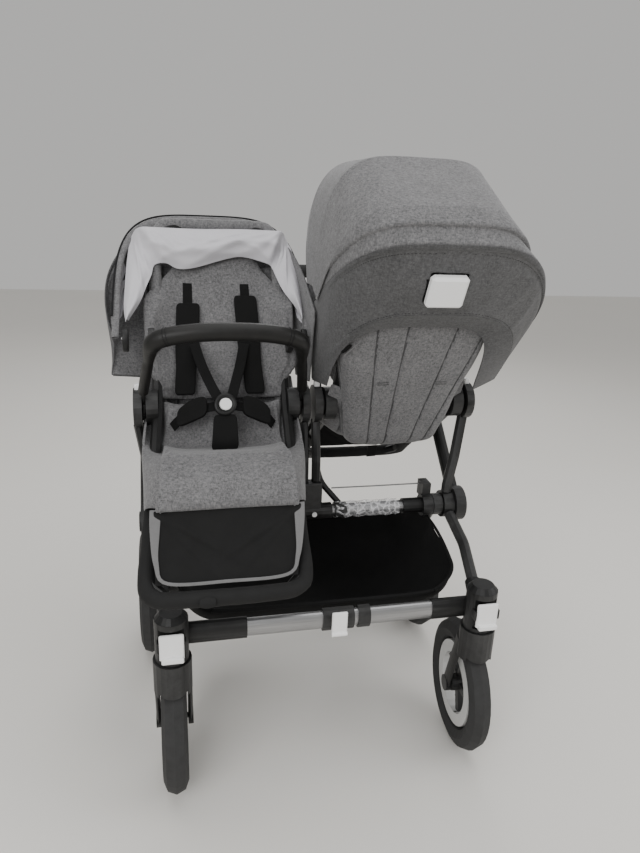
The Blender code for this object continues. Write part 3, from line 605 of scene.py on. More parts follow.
studio = {"floorTone": (0.8, 0.78, 0.74), "worldTone": (1.0, 0.99, 0.97), "worldPower": 0.52,
          # each lamp's name, place, aim, size and power
          "lamps": [("overhead", (0.1, -0.3, 2.9), (0.0, 0.0, 0.45), 2.6, 34.0),
                    ("frontFill", (-1.6, -2.6, 2.0), (0.0, 0.0, 0.6), 1.8, 52.0),
                    ("rightFill", (2.4, -1.2, 1.7), (0.0, 0.0, 0.6), 1.6, 22.0),
                    ("backRim", (0.6, 2.8, 2.4), (0.0, 0.0, 0.7), 1.6, 24.0)]}


def plainFloor(cfg):
    deselectEverything()
    bpy.ops.mesh.primitive_plane_add(size=14, location=(0, 0, -0.0006))
    floor = bpy.context.object
    floor.name = "studioFloor"
    bpy.ops.object.mode_set(mode="EDIT")
    bpy.ops.mesh.subdivide(number_cuts=6)
    bpy.ops.object.mode_set(mode="OBJECT")
    mat, tree, shader, where = startFinish("floorPaint", 0.62)
    darker = [c * 0.96 for c in cfg["floorTone"]]
    wire(tree, mixOf(tree, noiseOf(tree, where, 1.3), cfg["floorTone"], darker), shader["Base Color"])
    floor.data.materials.append(mat)


def hangLamps(cfg):
    world = bpy.data.worlds.new("studioAir")
    world.use_nodes = True
    air = world.node_tree.nodes["Background"]
    air.inputs["Color"].default_value = opaque(cfg["worldTone"])
    air.inputs["Strength"].default_value = cfg["worldPower"]
    bpy.context.scene.world = world
    for name, spot, aim, size, power in cfg["lamps"]:
        lamp = bpy.data.lights.new(name, "AREA")
        lamp.shape, lamp.size, lamp.energy = "SQUARE", size, power
        holder = bpy.data.objects.new(name, lamp)
        holder.location = spot
        holder.rotation_euler = (Vector(aim) - Vector(spot)).to_track_quat("-Z", "Y").to_euler()
        bpy.context.collection.objects.link(holder)


plainFloor(studio)
hangLamps(studio)

print("seat pads")

padSettings = {
    "back": {"top": 0.362, "height": 0.35, "half": 0.148, "thick": 0.012, "wing": 0.03, "wingStart": 0.076},
    "seat": {"line": [(0.012, 0.012), (0.004, -0.084), (-0.055, -0.103), (-0.12, -0.114), (-0.158, -0.128),
                      (-0.172, -0.158), (-0.176, -0.206)], "half": 0.119, "thick": 0.014, "rim": 0.012},
    "fill": 0.6}
# the sewn lines of each pad, with their depth, width and the way they face
backSeams = [([(x, 0.03, 0.36), (x * 0.99, 0.03, 0.18), (x * 0.94, 0.02, 0.01)], 0.0045, 0.0035, (0, -1, 0))
             for x in (-0.08, 0.08)]
backSeams += [([(x, 0.03, 0.31), (x, 0.03, 0.19)], 0.0016, 0.003, (0, -1, 0)) for x in (-0.052, 0.052)]
seatSeams = [([(x, 0, -0.085), (x, -0.06, -0.1), (x, -0.15, -0.12), (x, -0.17, -0.16)], 0.0035, 0.0035,
              (0, -0.4, 1)) for x in (-0.084, 0.084)]
seatSeams += [([(-0.13, -0.17, -0.153), (0, -0.174, -0.156), (0.13, -0.17, -0.153)], 0.003, 0.003, (0, -1, 0))]


def backPad(cfg):
    # backrest with its two side wings drawn forward round the frame tubes
    def shape(u, v):
        z = cfg["top"] - cfg["height"] * v
        half = cfg["half"] - 0.024 * easeStep((0.085 - z) / 0.06) - 0.058 * easeStep((z - 0.215) / 0.1)
        x = half * (2 * u - 1)
        wing = max(0.0, abs(x) - cfg["wingStart"]) / 0.052
        fade = 1 - 0.7 * easeStep((z - 0.2) / 0.06)
        return Vector((x, 0.034 - 0.01 * easeStep((0.16 - z) / 0.16) - cfg["wing"] * wing ** 1.6 * fade, z))
    return layCloth("seatBack", 40, 44, shape, cfg["thick"])


def seatPad(cfg):
    line = sideLine(cfg["line"], 40)

    def shape(u, v):
        t = 2 * u - 1
        p, ahead = pointOn(line, v), aheadOn(line, v)
        half = cfg["half"] + 0.004 * easeStep((-0.15 - p.z) / 0.05)
        rim = abs(t) ** 5 * cfg["rim"] * (1 if v < 0.75 else 0.2)
        return Vector((half * t, p.y, p.z)) + Vector((0, ahead.z, -ahead.y)) * rim  # the rim rises to the sitter
    return layCloth("seatPad", 30, 44, shape, cfg["thick"])


padded = []
for makePad, part, seams, node in ((backPad, "back", backSeams, "seat_shell"), (seatPad, "seat", seatSeams, None)):
    pad = makePad(padSettings[part])
    plumpUp(pad, plumpSettings)
    for seam in seams:
        pressSeam(pad, *seam)
    padded += pairUp(dress(pad, "heather"), "seat", node).values()

# the cloth sleeve that holds the backrest to the frame's upper loop
sleeveSettings = {"half": [(0.125, 0.018, 0.198), (0.1243, 0.027, 0.3), (0.1236, 0.031, 0.343),
                           (0.113, 0.034, 0.374), (0.088, 0.035, 0.385)], "middle": (0, 0.035, 0.385),
                  "radius": 0.0126, "creases": (60.0, 0.0007)}


def coveredTube(name, look, cfg, count):
    line = smoothLine(bothSides(cfg["half"], cfg["middle"]), count)
    return dress(crease(tubeAlong(name, line, cfg["radius"], roundness=4), *cfg["creases"]), look)


pairUp(coveredTube("frameSleeve", "heather", sleeveSettings, 120), "seat", None)

sideSettings = {"inner": [(0.03, 0.055), (0.024, 0), (0.006, -0.08), (-0.055, -0.098), (-0.12, -0.108),
                          (-0.156, -0.122), (-0.173, -0.15), (-0.177, -0.196)],
                "outer": [(0.012, 0.06), (0.004, 0), (-0.022, -0.04), (-0.052, -0.09), (-0.078, -0.13),
                          (-0.098, -0.16), (-0.112, -0.18), (-0.122, -0.198)],
                "innerX": 0.108, "outerX": 0.1405, "puff": 0.01, "thick": 0.0022}


def sidePanel(side, cfg):
    # cloth side of the seat, from the pad's edge out over the frame tube
    inner, outer = sideLine(cfg["inner"], 40), sideLine(cfg["outer"], 40)

    def shape(u, v):
        p = pointOn(inner, v).lerp(pointOn(outer, v), u)
        low, high = cfg["innerX"] + 0.004 * v, cfg["outerX"] + 0.006 * math.sin(math.pi * v)
        bow = math.sin(math.pi * u)
        x = low + (high - low) * math.sin(u * math.pi / 2)
        x += cfg["puff"] * bow * math.sin(math.pi * min(1, v * 1.15))
        return Vector((side * x, p.y - 0.004 * bow, p.z + 0.004 * bow))
    return thickCloth(dress(layCloth("sideCloth", 14, 30, shape), "heather"), cfg["thick"])


sides = joinPieces("seatSide", [sidePanel(side, sideSettings) for side in (-1, 1)])
pairUp(sides, "seat", None)

print("back cover")

coverSettings = {"top": 0.3, "low": -0.1, "groove": 0.0032, "width": 0.0026, "seam": 0.0017,
                 # where the sewn channels run, at z 0.124 and at -0.056
                 "channelTop": (0.137, 0.074, 0.024, -0.058, -0.11),
                 "channelLow": (0.104, 0.054, 0.017, -0.039, -0.073),
                 # sewn-on strips: points, width, thickness, facing, count, rounded ends, finish
                 "strips": {"coverWelt": ([(0.1393, 0.0515, 0.1603), (0.1263, 0.053, 0.1783),
                                           (0.1133, 0.054, 0.1962)], 0.0016, 0.001, (0, 1, 0), 8, 0, "binding"),
                            "coverPocket": ([(0.144, 0.048, 0.164), (0.138, 0.05, 0.174), (0.128, 0.0515, 0.186)],
                                            0.0075, 0.0012, (0.3, 1, 0), 12, 0.4, "webbing"),
                            "coverTail": ([(0.031, 0.033, -0.096), (0.03, 0.033, -0.113), (0.029, 0.032, -0.13)],
                                          0.02, 0.0022, (0, 1, 0), 8, 0, "webbing")}}


def coverHalf(z):
    half = 0.124 + 0.026 * easeStep((z - 0.02) / 0.15) - 0.014 * easeStep((0.02 - z) / 0.09)
    return half - 0.03 * max(0.0, (-0.055 - z) / 0.045) ** 2.2


def channelGap(x, z, cfg):
    t = (0.124 - z) / 0.18
    return min(abs(x - (a + (b - a) * t)) for a, b in zip(cfg["channelTop"], cfg["channelLow"]))


def coverPoint(u, v, cfg):
    t = 2 * u - 1
    z = cfg["top"] + (cfg["low"] - cfg["top"]) * v
    x = coverHalf(z) * t
    curl = max(0.0, (abs(t) - 0.8) / 0.2)  # the edges turn forward round the tubes
    y = 0.0545 - 0.011 * abs(t) ** 3 - 0.024 * curl ** 2 - 0.03 * max(0.0, (-0.055 - z) / 0.045) ** 2
    x -= math.copysign(0.004 * curl ** 3, t)
    y -= cfg["groove"] * swellAt(channelGap(x, z, cfg), 0.0, cfg["width"]) * (1 - curl)
    y += 0.001 * noise.noise(Vector((x * 30, 1, z * 22))) + 0.0007 * noise.noise(Vector((x * 90, 4, z * 60)))
    return Vector((x, y, z + 0.003 * abs(t) ** 4))


def backCover(cfg):
    # the sewn cover behind the backrest, stretched over the frame tubes
    piece = layCloth("backCover", 150, 70, lambda u, v: coverPoint(u, v, cfg))
    dress(piece, "heather", "heatherPaintedShade", "heatherSeam")
    for face in piece.data.polygons:
        x, _, z = face.center
        if channelGap(x, z, cfg) < cfg["seam"] and abs(x) < coverHalf(z) * 0.95:
            face.material_index = 2
    applyModifier(piece, "SOLIDIFY", thickness=0.0024, offset=-1.0, use_even_offset=False, use_rim=True)
    smoothOver(piece, 60)
    return piece


def coverDetails(cfg):
    # the edge piping, two short bar tacks, and the sewn-on strips
    edges = [[(u, i / 79) for i in range(80)] for u in (0.0, 1.0)] + [[(i / 79, 1.0) for i in range(80)]]
    lines = [[coverPoint(u, v, cfg) + Vector((0, 0.0006, 0)) for u, v in edge] for edge in edges]
    piping = joinPieces("coverPiping", [tubeAlong("edge", line, 0.0016, roundness=2) for line in lines])
    tacks = [strapAlong("tack", [(x - 0.012, 0.0556, z), (x, 0.056, z), (x + 0.012, 0.0556, z)], 0.0012, 0.0006,
                        (0, 1, 0), 8) for x in (-0.066, 0.052) for z in (0.093, 0.0985)]
    pieces = [dress(piping, "heatherSeam"), dress(joinPieces("coverTacks", tacks), "heatherSeam")]
    for name, (*strip, look) in cfg["strips"].items():
        pieces.append(dress(strapAlong(name, *strip), look))
    return pieces


pairUp(backCover(coverSettings), "seat", None)
for one in coverDetails(coverSettings):
    pairUp(one, "seat")

print("leg panel and loop cover")

legSettings = {"line": [(-0.1745, -0.198), (-0.179, -0.236), (-0.184, -0.282), (-0.188, -0.318)],
               "half": 0.1235, "sag": 0.004, "thick": 0.002, "creases": ((1.25, 0.0035), (2.1, 0.0022)),
               "binding": [(-0.1205, -0.1765, -0.196), (-0.1205, -0.1815, -0.236), (-0.1165, -0.1875, -0.285),
                           (-0.098, -0.1915, -0.315)], "bindingMiddle": (0, -0.1925, -0.318)}
loopSettings = {"half": [(-0.128, -0.0985, -0.185), (-0.1305, -0.14, -0.26), (-0.132, -0.172, -0.318),
                         (-0.119, -0.185, -0.337), (-0.09, -0.188, -0.3425)], "middle": (0, -0.1885, -0.344),
                "radius": 0.0142, "creases": (55.0, 0.0008),
                "tab": [(-0.034, -0.2032, -0.34), (-0.034, -0.2055, -0.349), (-0.034, -0.202, -0.3575)]}


def legPanel(cfg):
    line = sideLine(cfg["line"], 24)

    def shape(u, v):
        t = 2 * u - 1
        p = pointOn(line, v)
        y = p.y + cfg["sag"] * math.sin(math.pi * v) * (1 - t * t)
        for corner in (-1, 1):  # two creases run in from each upper corner
            for lean, deep in cfg["creases"]:
                gap = (v - 0.02) - lean * (1 - corner * t) * 0.5
                y -= deep * swellAt(gap, 0.0, 0.055) * easeStep((corner * t + 0.4) / 0.8)
        return Vector(((cfg["half"] - 0.006 * v) * t, y, p.z))
    return thickCloth(dress(layCloth("legPanel", 48, 36, shape), "legCloth"), cfg["thick"])


def bindingWidth(t):  # wide at its two upper ends
    return 0.0056 + 0.013 * easeStep((abs(2 * t - 1) - 0.45) / 0.55)


pairUp(legPanel(legSettings), "seat", None)
binding = strapAlong("legBinding", bothSides(legSettings["binding"], legSettings["bindingMiddle"]), bindingWidth,
                     0.003, (0, -1, 0), 60)
pairUp(dress(binding, "binding"), "seat", None)
pairUp(coveredTube("loopCover", "loopCloth", loopSettings, 90), "seat", None)
tab = strapAlong("loopTab", loopSettings["tab"], 0.026, 0.0022, (0, -1, 0), 10, 0.3)
pairUp(dress(tab, "loopCloth"), "seat", None)

print("bumper bars")

bumperSettings = {"thick": 0.016, "thin": 0.01, "stitchSeam": 0.1035, "endSeam": 0.1365, "ring": 0.151, "fill": 0.9,
                  "half": [(-0.151, -0.046, 0.0235), (-0.1442, -0.09, 0.043), (-0.1365, -0.135, 0.063),
                           (-0.129, -0.174, 0.081), (-0.11, -0.1915, 0.0895), (-0.06, -0.2025, 0.095)],
                  "middle": (0, -0.2055, 0.0965)}
bumperSpots = bothSides(bumperSettings["half"], bumperSettings["middle"])


def bumperBar(cfg):
    line = smoothLine(bumperSpots, 120)
    radii = []
    for p in line:
        pad = easeStep((0.138 - abs(p.x)) / 0.012)
        grooves = sum(swellAt(abs(p.x), cfg[seam], 0.0018) for seam in ("stitchSeam", "endSeam"))
        radii.append(cfg["thin"] + (cfg["thick"] - cfg["thin"]) * pad - 0.0012 * grooves)
    return dress(tubeAlong("bumperPad", line, 1.0, radii, roundness=6), "leatherette")


def bumperStitches(cfg):
    # a ring of raised thread on each side of the two seams
    line = smoothLine(bumperSpots, 240)
    rings = []
    for side in (-1, 1):
        for offset in (-0.003, 0.003):
            middle = min(line, key=lambda p: abs(p.x - side * cfg["stitchSeam"] - offset))
            at = line.index(middle)
            ahead = (line[at + 1] - line[at - 1]).normalized()
            first = ahead.cross(Vector((0, 0, 1))).normalized()
            second = ahead.cross(first)
            ring = [middle + (first * math.cos(a) + second * math.sin(a)) * cfg["thick"] * 1.005
                    for a in (math.tau * k / 40 for k in range(40))]
            rings.append(tubeAlong("ring", ring, 0.0004, closed=True, roundness=1))
    return dress(joinPieces("bumperStitches", rings), "piping")


def bumperEars(cfg):
    # the hinge rings and their flat links to the bar
    parts = []
    for x in (-cfg["ring"], cfg["ring"]):
        disc = turnedDisc(0.025, 0.0048, (x, 0, 0), (0, math.pi / 2, 0))
        applyModifier(disc, "BEVEL", width=0.0008, segments=2)
        ends = Vector((x, -0.016, 0.0082)), Vector((x, -0.05, 0.0255))
        parts += [disc, strapAlong("link", [ends[0], ends[0].lerp(ends[1], 0.5), ends[1]], 0.02, 0.0048,
                                   (1, 0, 0), 8)]
    piece = joinPieces("bumperRings", parts)
    smoothOver(piece, 35)
    return dress(piece, "blackPlastic")


bars = pairUp(bumperBar(bumperSettings), "bumper", "bumper_bar")
pairUp(bumperStitches(bumperSettings), "bumper")
pairUp(bumperEars(bumperSettings), "bumper", None)

print("harness")

harnessSettings = {
    "x": 0.0575, "shift": -0.004, "padTops": {-1: 0.212, 1: 0.229}, "fill": 0.5,
    "shoulder": {"points": 30, "rows": 40, "tip": 0.05, "blunt": 0.8, "thick": 0.0075, "bevel": 0.0022,
                 "hollow": 0.0015},
    "waist": {"points": 20, "rows": 22, "tip": 0.16, "blunt": 0.6, "thick": 0.0085, "bevel": 0.0025},
    "crotch": {"points": 20, "rows": 20, "tip": 0.14, "blunt": 0.72, "thick": 0.009, "bevel": 0.0025}}


def harnessStraps(cfg):
    straps = []
    for side in (-1, 1):
        x = side * cfg["x"] + cfg["shift"]
        straps += [
            strapAlong("strapTop", [(x, 0.031, 0.2665), (x, 0.0235, 0.258), (x * 1.01, 0.021, 0.23),
                                    (x * 1.02, 0.017, 0.195)], 0.0185, 0.0022, (0, -1, 0), 16),
            strapAlong("strapCross", [(x * 0.86, -0.002, 0.125), (x * 0.66, -0.013, 0.08), (x * 0.42, -0.033, 0.038),
                                      (side * 0.012, -0.047, 0.006)], 0.02, 0.0022, (0, -1, 0.3), 20),
            strapAlong("strapWaist", [(side * 0.014, -0.044, -0.006), (side * 0.045, -0.039, -0.012),
                                      (side * 0.078, -0.027, -0.024), (side * 0.098, -0.013, -0.042)],
                       0.02, 0.0024, (0, -1, 0.5), 20)]
    return dress(joinPieces("harnessStraps", straps), "webbing")


def harnessPads(cfg):
    pads = []
    for side, top in cfg["padTops"].items():
        x = side * cfg["x"] + cfg["shift"]
        spots = [(x, 0.015, top), (x * 1.04, 0.0125, top - 0.05), (x * 1.08, 0.008, 0.115), (x * 1.14, 0.002, 0.07),
                 (x * 1.2, -0.005, 0.022)]
        pads.append(stuffedPad("shoulderPad", spots, lambda v: 0.0232 - 0.0035 * easeStep((v - 0.45) / 0.3),
                               (1, 0, 0), cfg["shoulder"]))
    for side in (-1, 1):
        spots = [(side * 0.034, -0.047, -0.006), (side * 0.06, -0.042, -0.014), (side * 0.088, -0.032, -0.028)]
        pads.append(stuffedPad("waistPad", spots, lambda v: 0.0215 * (0.72 + 0.28 * math.sin(
            math.pi * (0.15 + 0.8 * v))), (0, side * 0.2, side * 0.98), cfg["waist"]))
    spots = [(0, -0.053, -0.026), (0, -0.064, -0.05), (0, -0.07, -0.076), (0, -0.06, -0.092)]
    pads.append(stuffedPad("crotchPad", spots, lambda v: 0.0215 + 0.004 * v, (1, 0, 0), cfg["crotch"]))
    return dress(joinPieces("harnessPads", pads), "padCloth")


pairUp(harnessStraps(harnessSettings), "seat", "harness")
for one in pairUp(harnessPads(harnessSettings), "seat", None).values():
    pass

buckleSettings = {"radius": 0.0212, "depth": 0.015, "spot": (0, -0.0535, -0.006),
                  # each inset of the front face and how far it then moves back
                  "steps": ((0.0035, -0.0016), (0.0048, 0.0012), (0.0001, 0.0068))}


def buckleShell(cfg):
    piece = turnedDisc(cfg["radius"], cfg["depth"], cfg["spot"], (math.pi / 2, 0, 0), 64)
    piece.name = "buckleShell"
    bpy.ops.object.mode_set(mode="EDIT")
    bpy.ops.mesh.select_mode(type="FACE")
    bpy.ops.mesh.select_all(action="DESELECT")
    bpy.ops.object.mode_set(mode="OBJECT")
    for face in piece.data.polygons:
        face.select = face.normal.y < -0.9
    bpy.ops.object.mode_set(mode="EDIT")
    for inset, back in cfg["steps"]:
        bpy.ops.mesh.inset(thickness=inset)
        bpy.ops.transform.translate(value=(0, back, 0))
    bpy.ops.object.mode_set(mode="OBJECT")
    applyModifier(piece, "BEVEL", width=0.0008, segments=3, limit_method="ANGLE")
    smoothOver(piece, 35)
    return dress(piece, "blackPlastic")


pairUp(buckleShell(buckleSettings), "seat", "buckle")

print("hoods")

hoodSettings = {"pivot": (-0.06, 0.125), "hoop": 0.335, "hoopHalf": 0.183, "shift": -0.015, "cloth": 0.0026,
                "angles": {"left": -27.0, "right": 58.0}, "skirtReach": 0.72}


def arcPoint(u, cfg, low=0.1):
    # a point of an arch over the seat: u runs from the outer side to the inner side
    first = math.asin(low)
    angle = first + (math.pi - 2 * first) * u
    turn = math.cos(angle)
    across = math.copysign(abs(turn) ** (2 / cfg["square"]), turn)
    rise = math.sin(angle) ** (2 / cfg["square"])
    side = 0 if turn > 0 else 1
    (footY, footZ), half, bulge = cfg["feet"][side], cfg["halves"][side], cfg["bulges"][side]
    topY, topZ = cfg["top"]
    return Vector((cfg.get("shift", 0.0) - half * (1 + 4 * bulge * rise * (1 - rise)) * across,
                   footY + (topY - footY) * rise, footZ + (topZ - footZ) * rise))


def mixed(a, b, t):
    if isinstance(a, tuple):
        return tuple(mixed(p, q, t) for p, q in zip(a, b))
    return a + (b - a) * t


def blendRows(rows, v):
    # rows are (place, settings of arcPoint); the settings run softly between them
    for (a, first), (b, second) in zip(rows, rows[1:]):
        if v <= b + 1e-9:
            t = (v - a) / (b - a)
            t = 0.5 * t + 0.5 * easeStep(t)
            return {key: mixed(first[key], second[key], t) for key in first}
    return rows[-1][1]


def rowOf(place, top, feet, halves, square, bulges=(0.0, 0.0)):
    return place, {"top": top, "feet": feet, "halves": halves, "square": square, "bulges": bulges}


def roundPivot(angle, radius):
    py, pz = hoodSettings["pivot"]
    return py - radius * math.sin(math.radians(angle)), pz + radius * math.cos(math.radians(angle))


skirtRows = [  # place, top (y, z), the two feet, the two half widths, squareness, the two bulges
    rowOf(0.0, (0.0627, 0.2342), ((0.0416, 0.0525), (0.0167, 0.0502)), (0.1474, 0.1516), 3.66, (-0.041, 0.006)),
    rowOf(0.13, (0.0829, 0.2764), ((0.0031, 0.0564), (-0.0364, 0.0296)), (0.2123, 0.172), 2.83, (-0.03, -0.044)),
    rowOf(0.64, (0.0875, 0.3978), ((0.0009, 0.1075), (-0.1228, 0.1288)), (0.195, 0.1719), 3.68, (0.16, 0.002)),
    rowOf(0.75, (0.0906, 0.4109), ((-0.0313, 0.1077), (-0.1326, 0.1354)), (0.1965, 0.1719), 3.78, (0.142, 0.001))]
ridgeRow = skirtRows[-1][1]
seamRow = rowOf(0.92, (0.069, 0.429), ((-0.0237, 0.1105), (-0.1347, 0.14)), (0.169, 0.1728), 4.05,
                (0.054, -0.003))[1]
skirtSettings = {
    # each fold's place across and its lean, and beside the slit also its height
    "slitFolds": ((0.398, 0.1, 0.002), (0.418, -0.05, 0.0026), (0.434, 0.02, 0.0016), (0.566, -0.02, 0.0016),
                  (0.58, -0.12, 0.0026), (0.598, 0.06, 0.0018)),
    "sideFolds": ((0.3, 0.3), (0.7, -0.28), (0.22, 0.1), (0.8, -0.12)),
    "ridge": (0.655, 0.075), "hem": (0.004, 0.118), "stitchRows": (0.6, 0.145), "stitches": 96}
slitSettings = {"half": 0.035, "low": 0.297, "high": 0.36, "round": 0.012}


def skirtPoint(u, v):
    p = arcPoint(u, blendRows(skirtRows, v), 0.01)
    # the cloth puckers a little beside the slit and sags below the ridge
    p.y -= 0.0035 * swellAt(v, 0.58, 0.035) * (1 - 0.6 * swellAt(u, 0.5, 0.2))
    p.y += 0.013 * swellAt(p.x, 0.0, 0.056) * swellAt(p.z, 0.327, 0.04)
    for at, lean, rise in skirtSettings["slitFolds"]:
        p.y += rise * swellAt(u + (v - 0.42) * lean, at, 0.0055) * swellAt(v, 0.4, 0.11)
    for at, lean in skirtSettings["sideFolds"]:
        p.y += 0.0022 * swellAt(u + (v - 0.4) * lean, at, 0.016) * swellAt(v, 0.34, 0.2)
    return p + Vector((0.6, 1.0, 0.4)) * 0.0016 * noise.noise(Vector((u * 13, v * 7, 3.1)))


def slitEdge(x, z, cfg):
    # how far a point is inside (below 0) or outside the rounded slit
    dx = abs(x) - (cfg["half"] - cfg["round"])
    dz = abs(z - (cfg["low"] + cfg["high"]) / 2) - ((cfg["high"] - cfg["low"]) / 2 - cfg["round"])
    return math.hypot(max(dx, 0), max(dz, 0)) + min(max(dx, dz), 0) - cfg["round"]


def hoodSkirt(word, cfg):
    # the fixed back of the hood, with the slit that the squeeze handle comes through
    reach, step = hoodSettings["skirtReach"], 0.0008
    piece = layCloth(f"hoodSkirt_{word}", 110, 60, lambda u, v: skirtPoint(u, v * reach))
    for vertex in piece.data.vertices:  # grid points close to the slit move onto its edge
        x, y, z = vertex.co
        gap = slitEdge(x, z, cfg)
        if y >= 0.05 and abs(gap) < 0.0036:
            slope = Vector((slitEdge(x + step, z, cfg) - slitEdge(x - step, z, cfg), 0,
                            slitEdge(x, z + step, cfg) - slitEdge(x, z - step, cfg)))
            vertex.co -= slope.normalized() * gap
    takeUp(piece)
    for face in piece.data.polygons:
        c = face.center
        face.select = c.y > 0.05 and slitEdge(c.x, c.z, cfg) < -0.0004
    bpy.ops.object.mode_set(mode="EDIT")
    bpy.ops.mesh.select_mode(type="FACE")
    bpy.ops.mesh.delete(type="FACE")
    bpy.ops.object.mode_set(mode="OBJECT")
    # the inner side wears the darker heather copy as painted shade
    thickCloth(dress(piece, "heather", "heatherPaintedShade"), hoodSettings["cloth"], inner=1)
    piece.data.transform(seatStand[word])
    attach(piece, f"seat_{word}")
    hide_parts(f"hood_rear_{word}")
    return piece


def hoodTrims(cfg):
    # the piped ridge and the deep turned hem
    (ridgeLow, ridgeWide), (hemLow, hemWide) = cfg["ridge"], cfg["hem"]
    ridge = layCloth("ridge", 110, 6, lambda u, v: skirtPoint(u, ridgeLow + ridgeWide * v)
                     + Vector((0, 0.0016 + 0.0012 * math.sin(math.pi * v), 0.0006)), 0.0016)
    hem = layCloth("hem", 110, 5, lambda u, v: skirtPoint(u, hemLow + hemWide * v) + Vector((0, 0.0015, -0.0004)),
                   0.0014)
    for band in (ridge, hem):
        smoothOver(band, 60)
    return dress(joinPieces("ridgePiping", [ridge, hem]), "heatherBand")


def seamStitches(cfg):
    # short raised stitches: one modelled, the rest copied along the ridge and the hem
    stitch = turnedDisc(0.00035, 0.0026, sides=6)
    copies = []
    for row in cfg["stitchRows"]:
        for k in range(cfg["stitches"]):
            u = 0.03 + 0.94 * k / (cfg["stitches"] - 1)
            here, ahead = skirtPoint(u, row), skirtPoint(min(1, u + 0.004), row)
            if here.y > 0.05 and slitEdge(here.x, here.z, slitSettings) < 0.002:
                continue
            one = stitch.copy()
            one.data = stitch.data.copy()
            bpy.context.collection.objects.link(one)
            turn = (ahead - here).to_track_quat("Z", "Y").to_matrix().to_4x4()
            one.data.transform(Matrix.Translation(here + Vector((0, 0.0018, 0.0004))) @ turn)
            copies.append(one)
    bpy.data.objects.remove(stitch)
    return dress(joinPieces("skirtStitches", copies), "piping")


{word: hoodSkirt(word, slitSettings) for word in ("left", "right")}
pairUp(hoodTrims(skirtSettings), "seat", None)
pairUp(seamStitches(skirtSettings), "seat")


def hoodDome(word, rows, along, wrinkle):
    def shape(u, v):
        p = arcPoint(u, blendRows(rows, v), 0.06)
        away = (p - Vector((0, *hoodSettings["pivot"]))).normalized()
        return p + away * wrinkle * noise.noise(Vector((u * 7, v * 6, 8.7)))
    piece = layCloth(f"hoodDome_{word}", 80, along, shape)
    thickCloth(dress(piece, "lining", "heather"), hoodSettings["cloth"], inner=1)
    piece.data.transform(seatStand[word])
    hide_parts(f"hood_canopy_{word}")
    return piece


def domeRow(place, angle, radius, halves, square=4.35, foot=(-0.0932, 0.1171)):
    return rowOf(place, roundPivot(angle, radius), (foot, foot), halves, square)


def grown(place, row, step):
    # the same arch a step further out
    top, halves = row["top"], row["halves"]
    return place, {**row, "top": (top[0] + step * 0.4, top[1] + step),
                   "halves": (halves[0] + step, halves[1] + step * 0.6)}


openRows = [grown(0.0, ridgeRow, -0.006), grown(0.015, ridgeRow, -0.0005), grown(0.085, seamRow, -0.001),
            grown(0.1, seamRow, 0.0012), grown(0.112, seamRow, 0.0062),
            domeRow(0.17, -17.0, 0.337, (0.154, 0.1765)), domeRow(0.5, 12.0, 0.3395, (0.157, 0.1775)),
            domeRow(0.82, 40.0, 0.344, (0.165, 0.178)),
            domeRow(0.95, 53.0, 0.344, (0.176, 0.175), 4.2, (-0.08, 0.12)),
            domeRow(1.0, 57.5, 0.339, (0.196, 0.168), 4.0, (-0.065, 0.125))]
foldRows = [domeRow(0.0, -42.0, 0.29, (0.188, 0.158), 4.0, (-0.05, 0.125)),
            domeRow(0.16, -40.5, 0.308, (0.2, 0.164), 4.0, (-0.05, 0.1)),
            domeRow(0.32, -38.5, 0.296, (0.194, 0.158), 4.0, (-0.05, 0.115)),
            domeRow(0.5, -36.5, 0.315, (0.208, 0.165), 3.8, (-0.056, 0.085)),
            domeRow(0.66, -35.0, 0.306, (0.198, 0.16), 4.0, (-0.054, 0.1)),
            domeRow(0.86, -31.0, 0.33, (0.209, 0.166), 3.9, (-0.058, 0.08)),
            domeRow(1.0, -28.2, 0.333, (0.1965, 0.1665), 4.0, (-0.06, 0.105))]
dome = hoodDome("right", openRows, 92, 0.0012)
bundle = hoodDome("left", foldRows, 52, 0.0016)


def hoopRow(grow):
    return {"top": (0.0, hoodSettings["hoop"] + grow), "feet": ((0.0, 0.0), (0.0, 0.0)), "square": 4.0,
            "halves": (hoodSettings["hoopHalf"] + grow,) * 2, "bulges": (0.0, 0.0), "shift": hoodSettings["shift"]}


def rimBand(name):
    # the turned edge round the front hoop, in the hoop's own upright place
    row = hoopRow(0.0)

    def shape(u, v):
        a, end = math.tau * v, min(u, 1 - u)
        p = arcPoint(u, row, 0.0)
        run = arcPoint(min(1.0, u + 0.004), row, 0.0) - arcPoint(max(0.0, u - 0.004), row, 0.0)
        outward = Vector((-run.z, 0, run.x)).normalized()
        if outward.dot(Vector((p.x + 0.015, 0, p.z - 0.1))) < 0:
            outward = -outward
        fat = 0.35 + 0.65 * easeStep(end / 0.12)
        slack = 0.0006 * noise.noise(Vector((u * 40, v * 5, 2.0)))
        deep = 0.0066 if math.cos(a) > 0 else 0.0066 + 0.011 * easeStep((end - 0.14) / 0.12)
        return p + outward * (deep * math.cos(a) + slack) + Vector((0, 0.0085 * fat * math.sin(a) + 0.003, 0))
    piece = layCloth(name, 120, 16, shape)
    turnOutward(piece)
    smoothOver(piece, 60)
    return dress(piece, "heather")


def standHoop(piece, word):
    stand = seatStand[word] @ Matrix.Translation((0, *hoodSettings["pivot"]))
    piece.data.transform(stand @ Matrix.Rotation(math.radians(hoodSettings["angles"][word]), 4, "X"))
    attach(piece, f"hood_{word}")


for word in ("left", "right"):
    rim = rimBand(f"hoodRim_{word}")
    standHoop(rim, word)
    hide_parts(f"hood_hoop_{word}")
    edge = [arcPoint(i / 119, hoopRow(0.0062), 0.02) + Vector((0, -0.0035, 0)) for i in range(120)]
    standHoop(dress(tubeAlong(f"rimPiping_{word}", edge, 0.0019, roundness=2), "piping"), word)

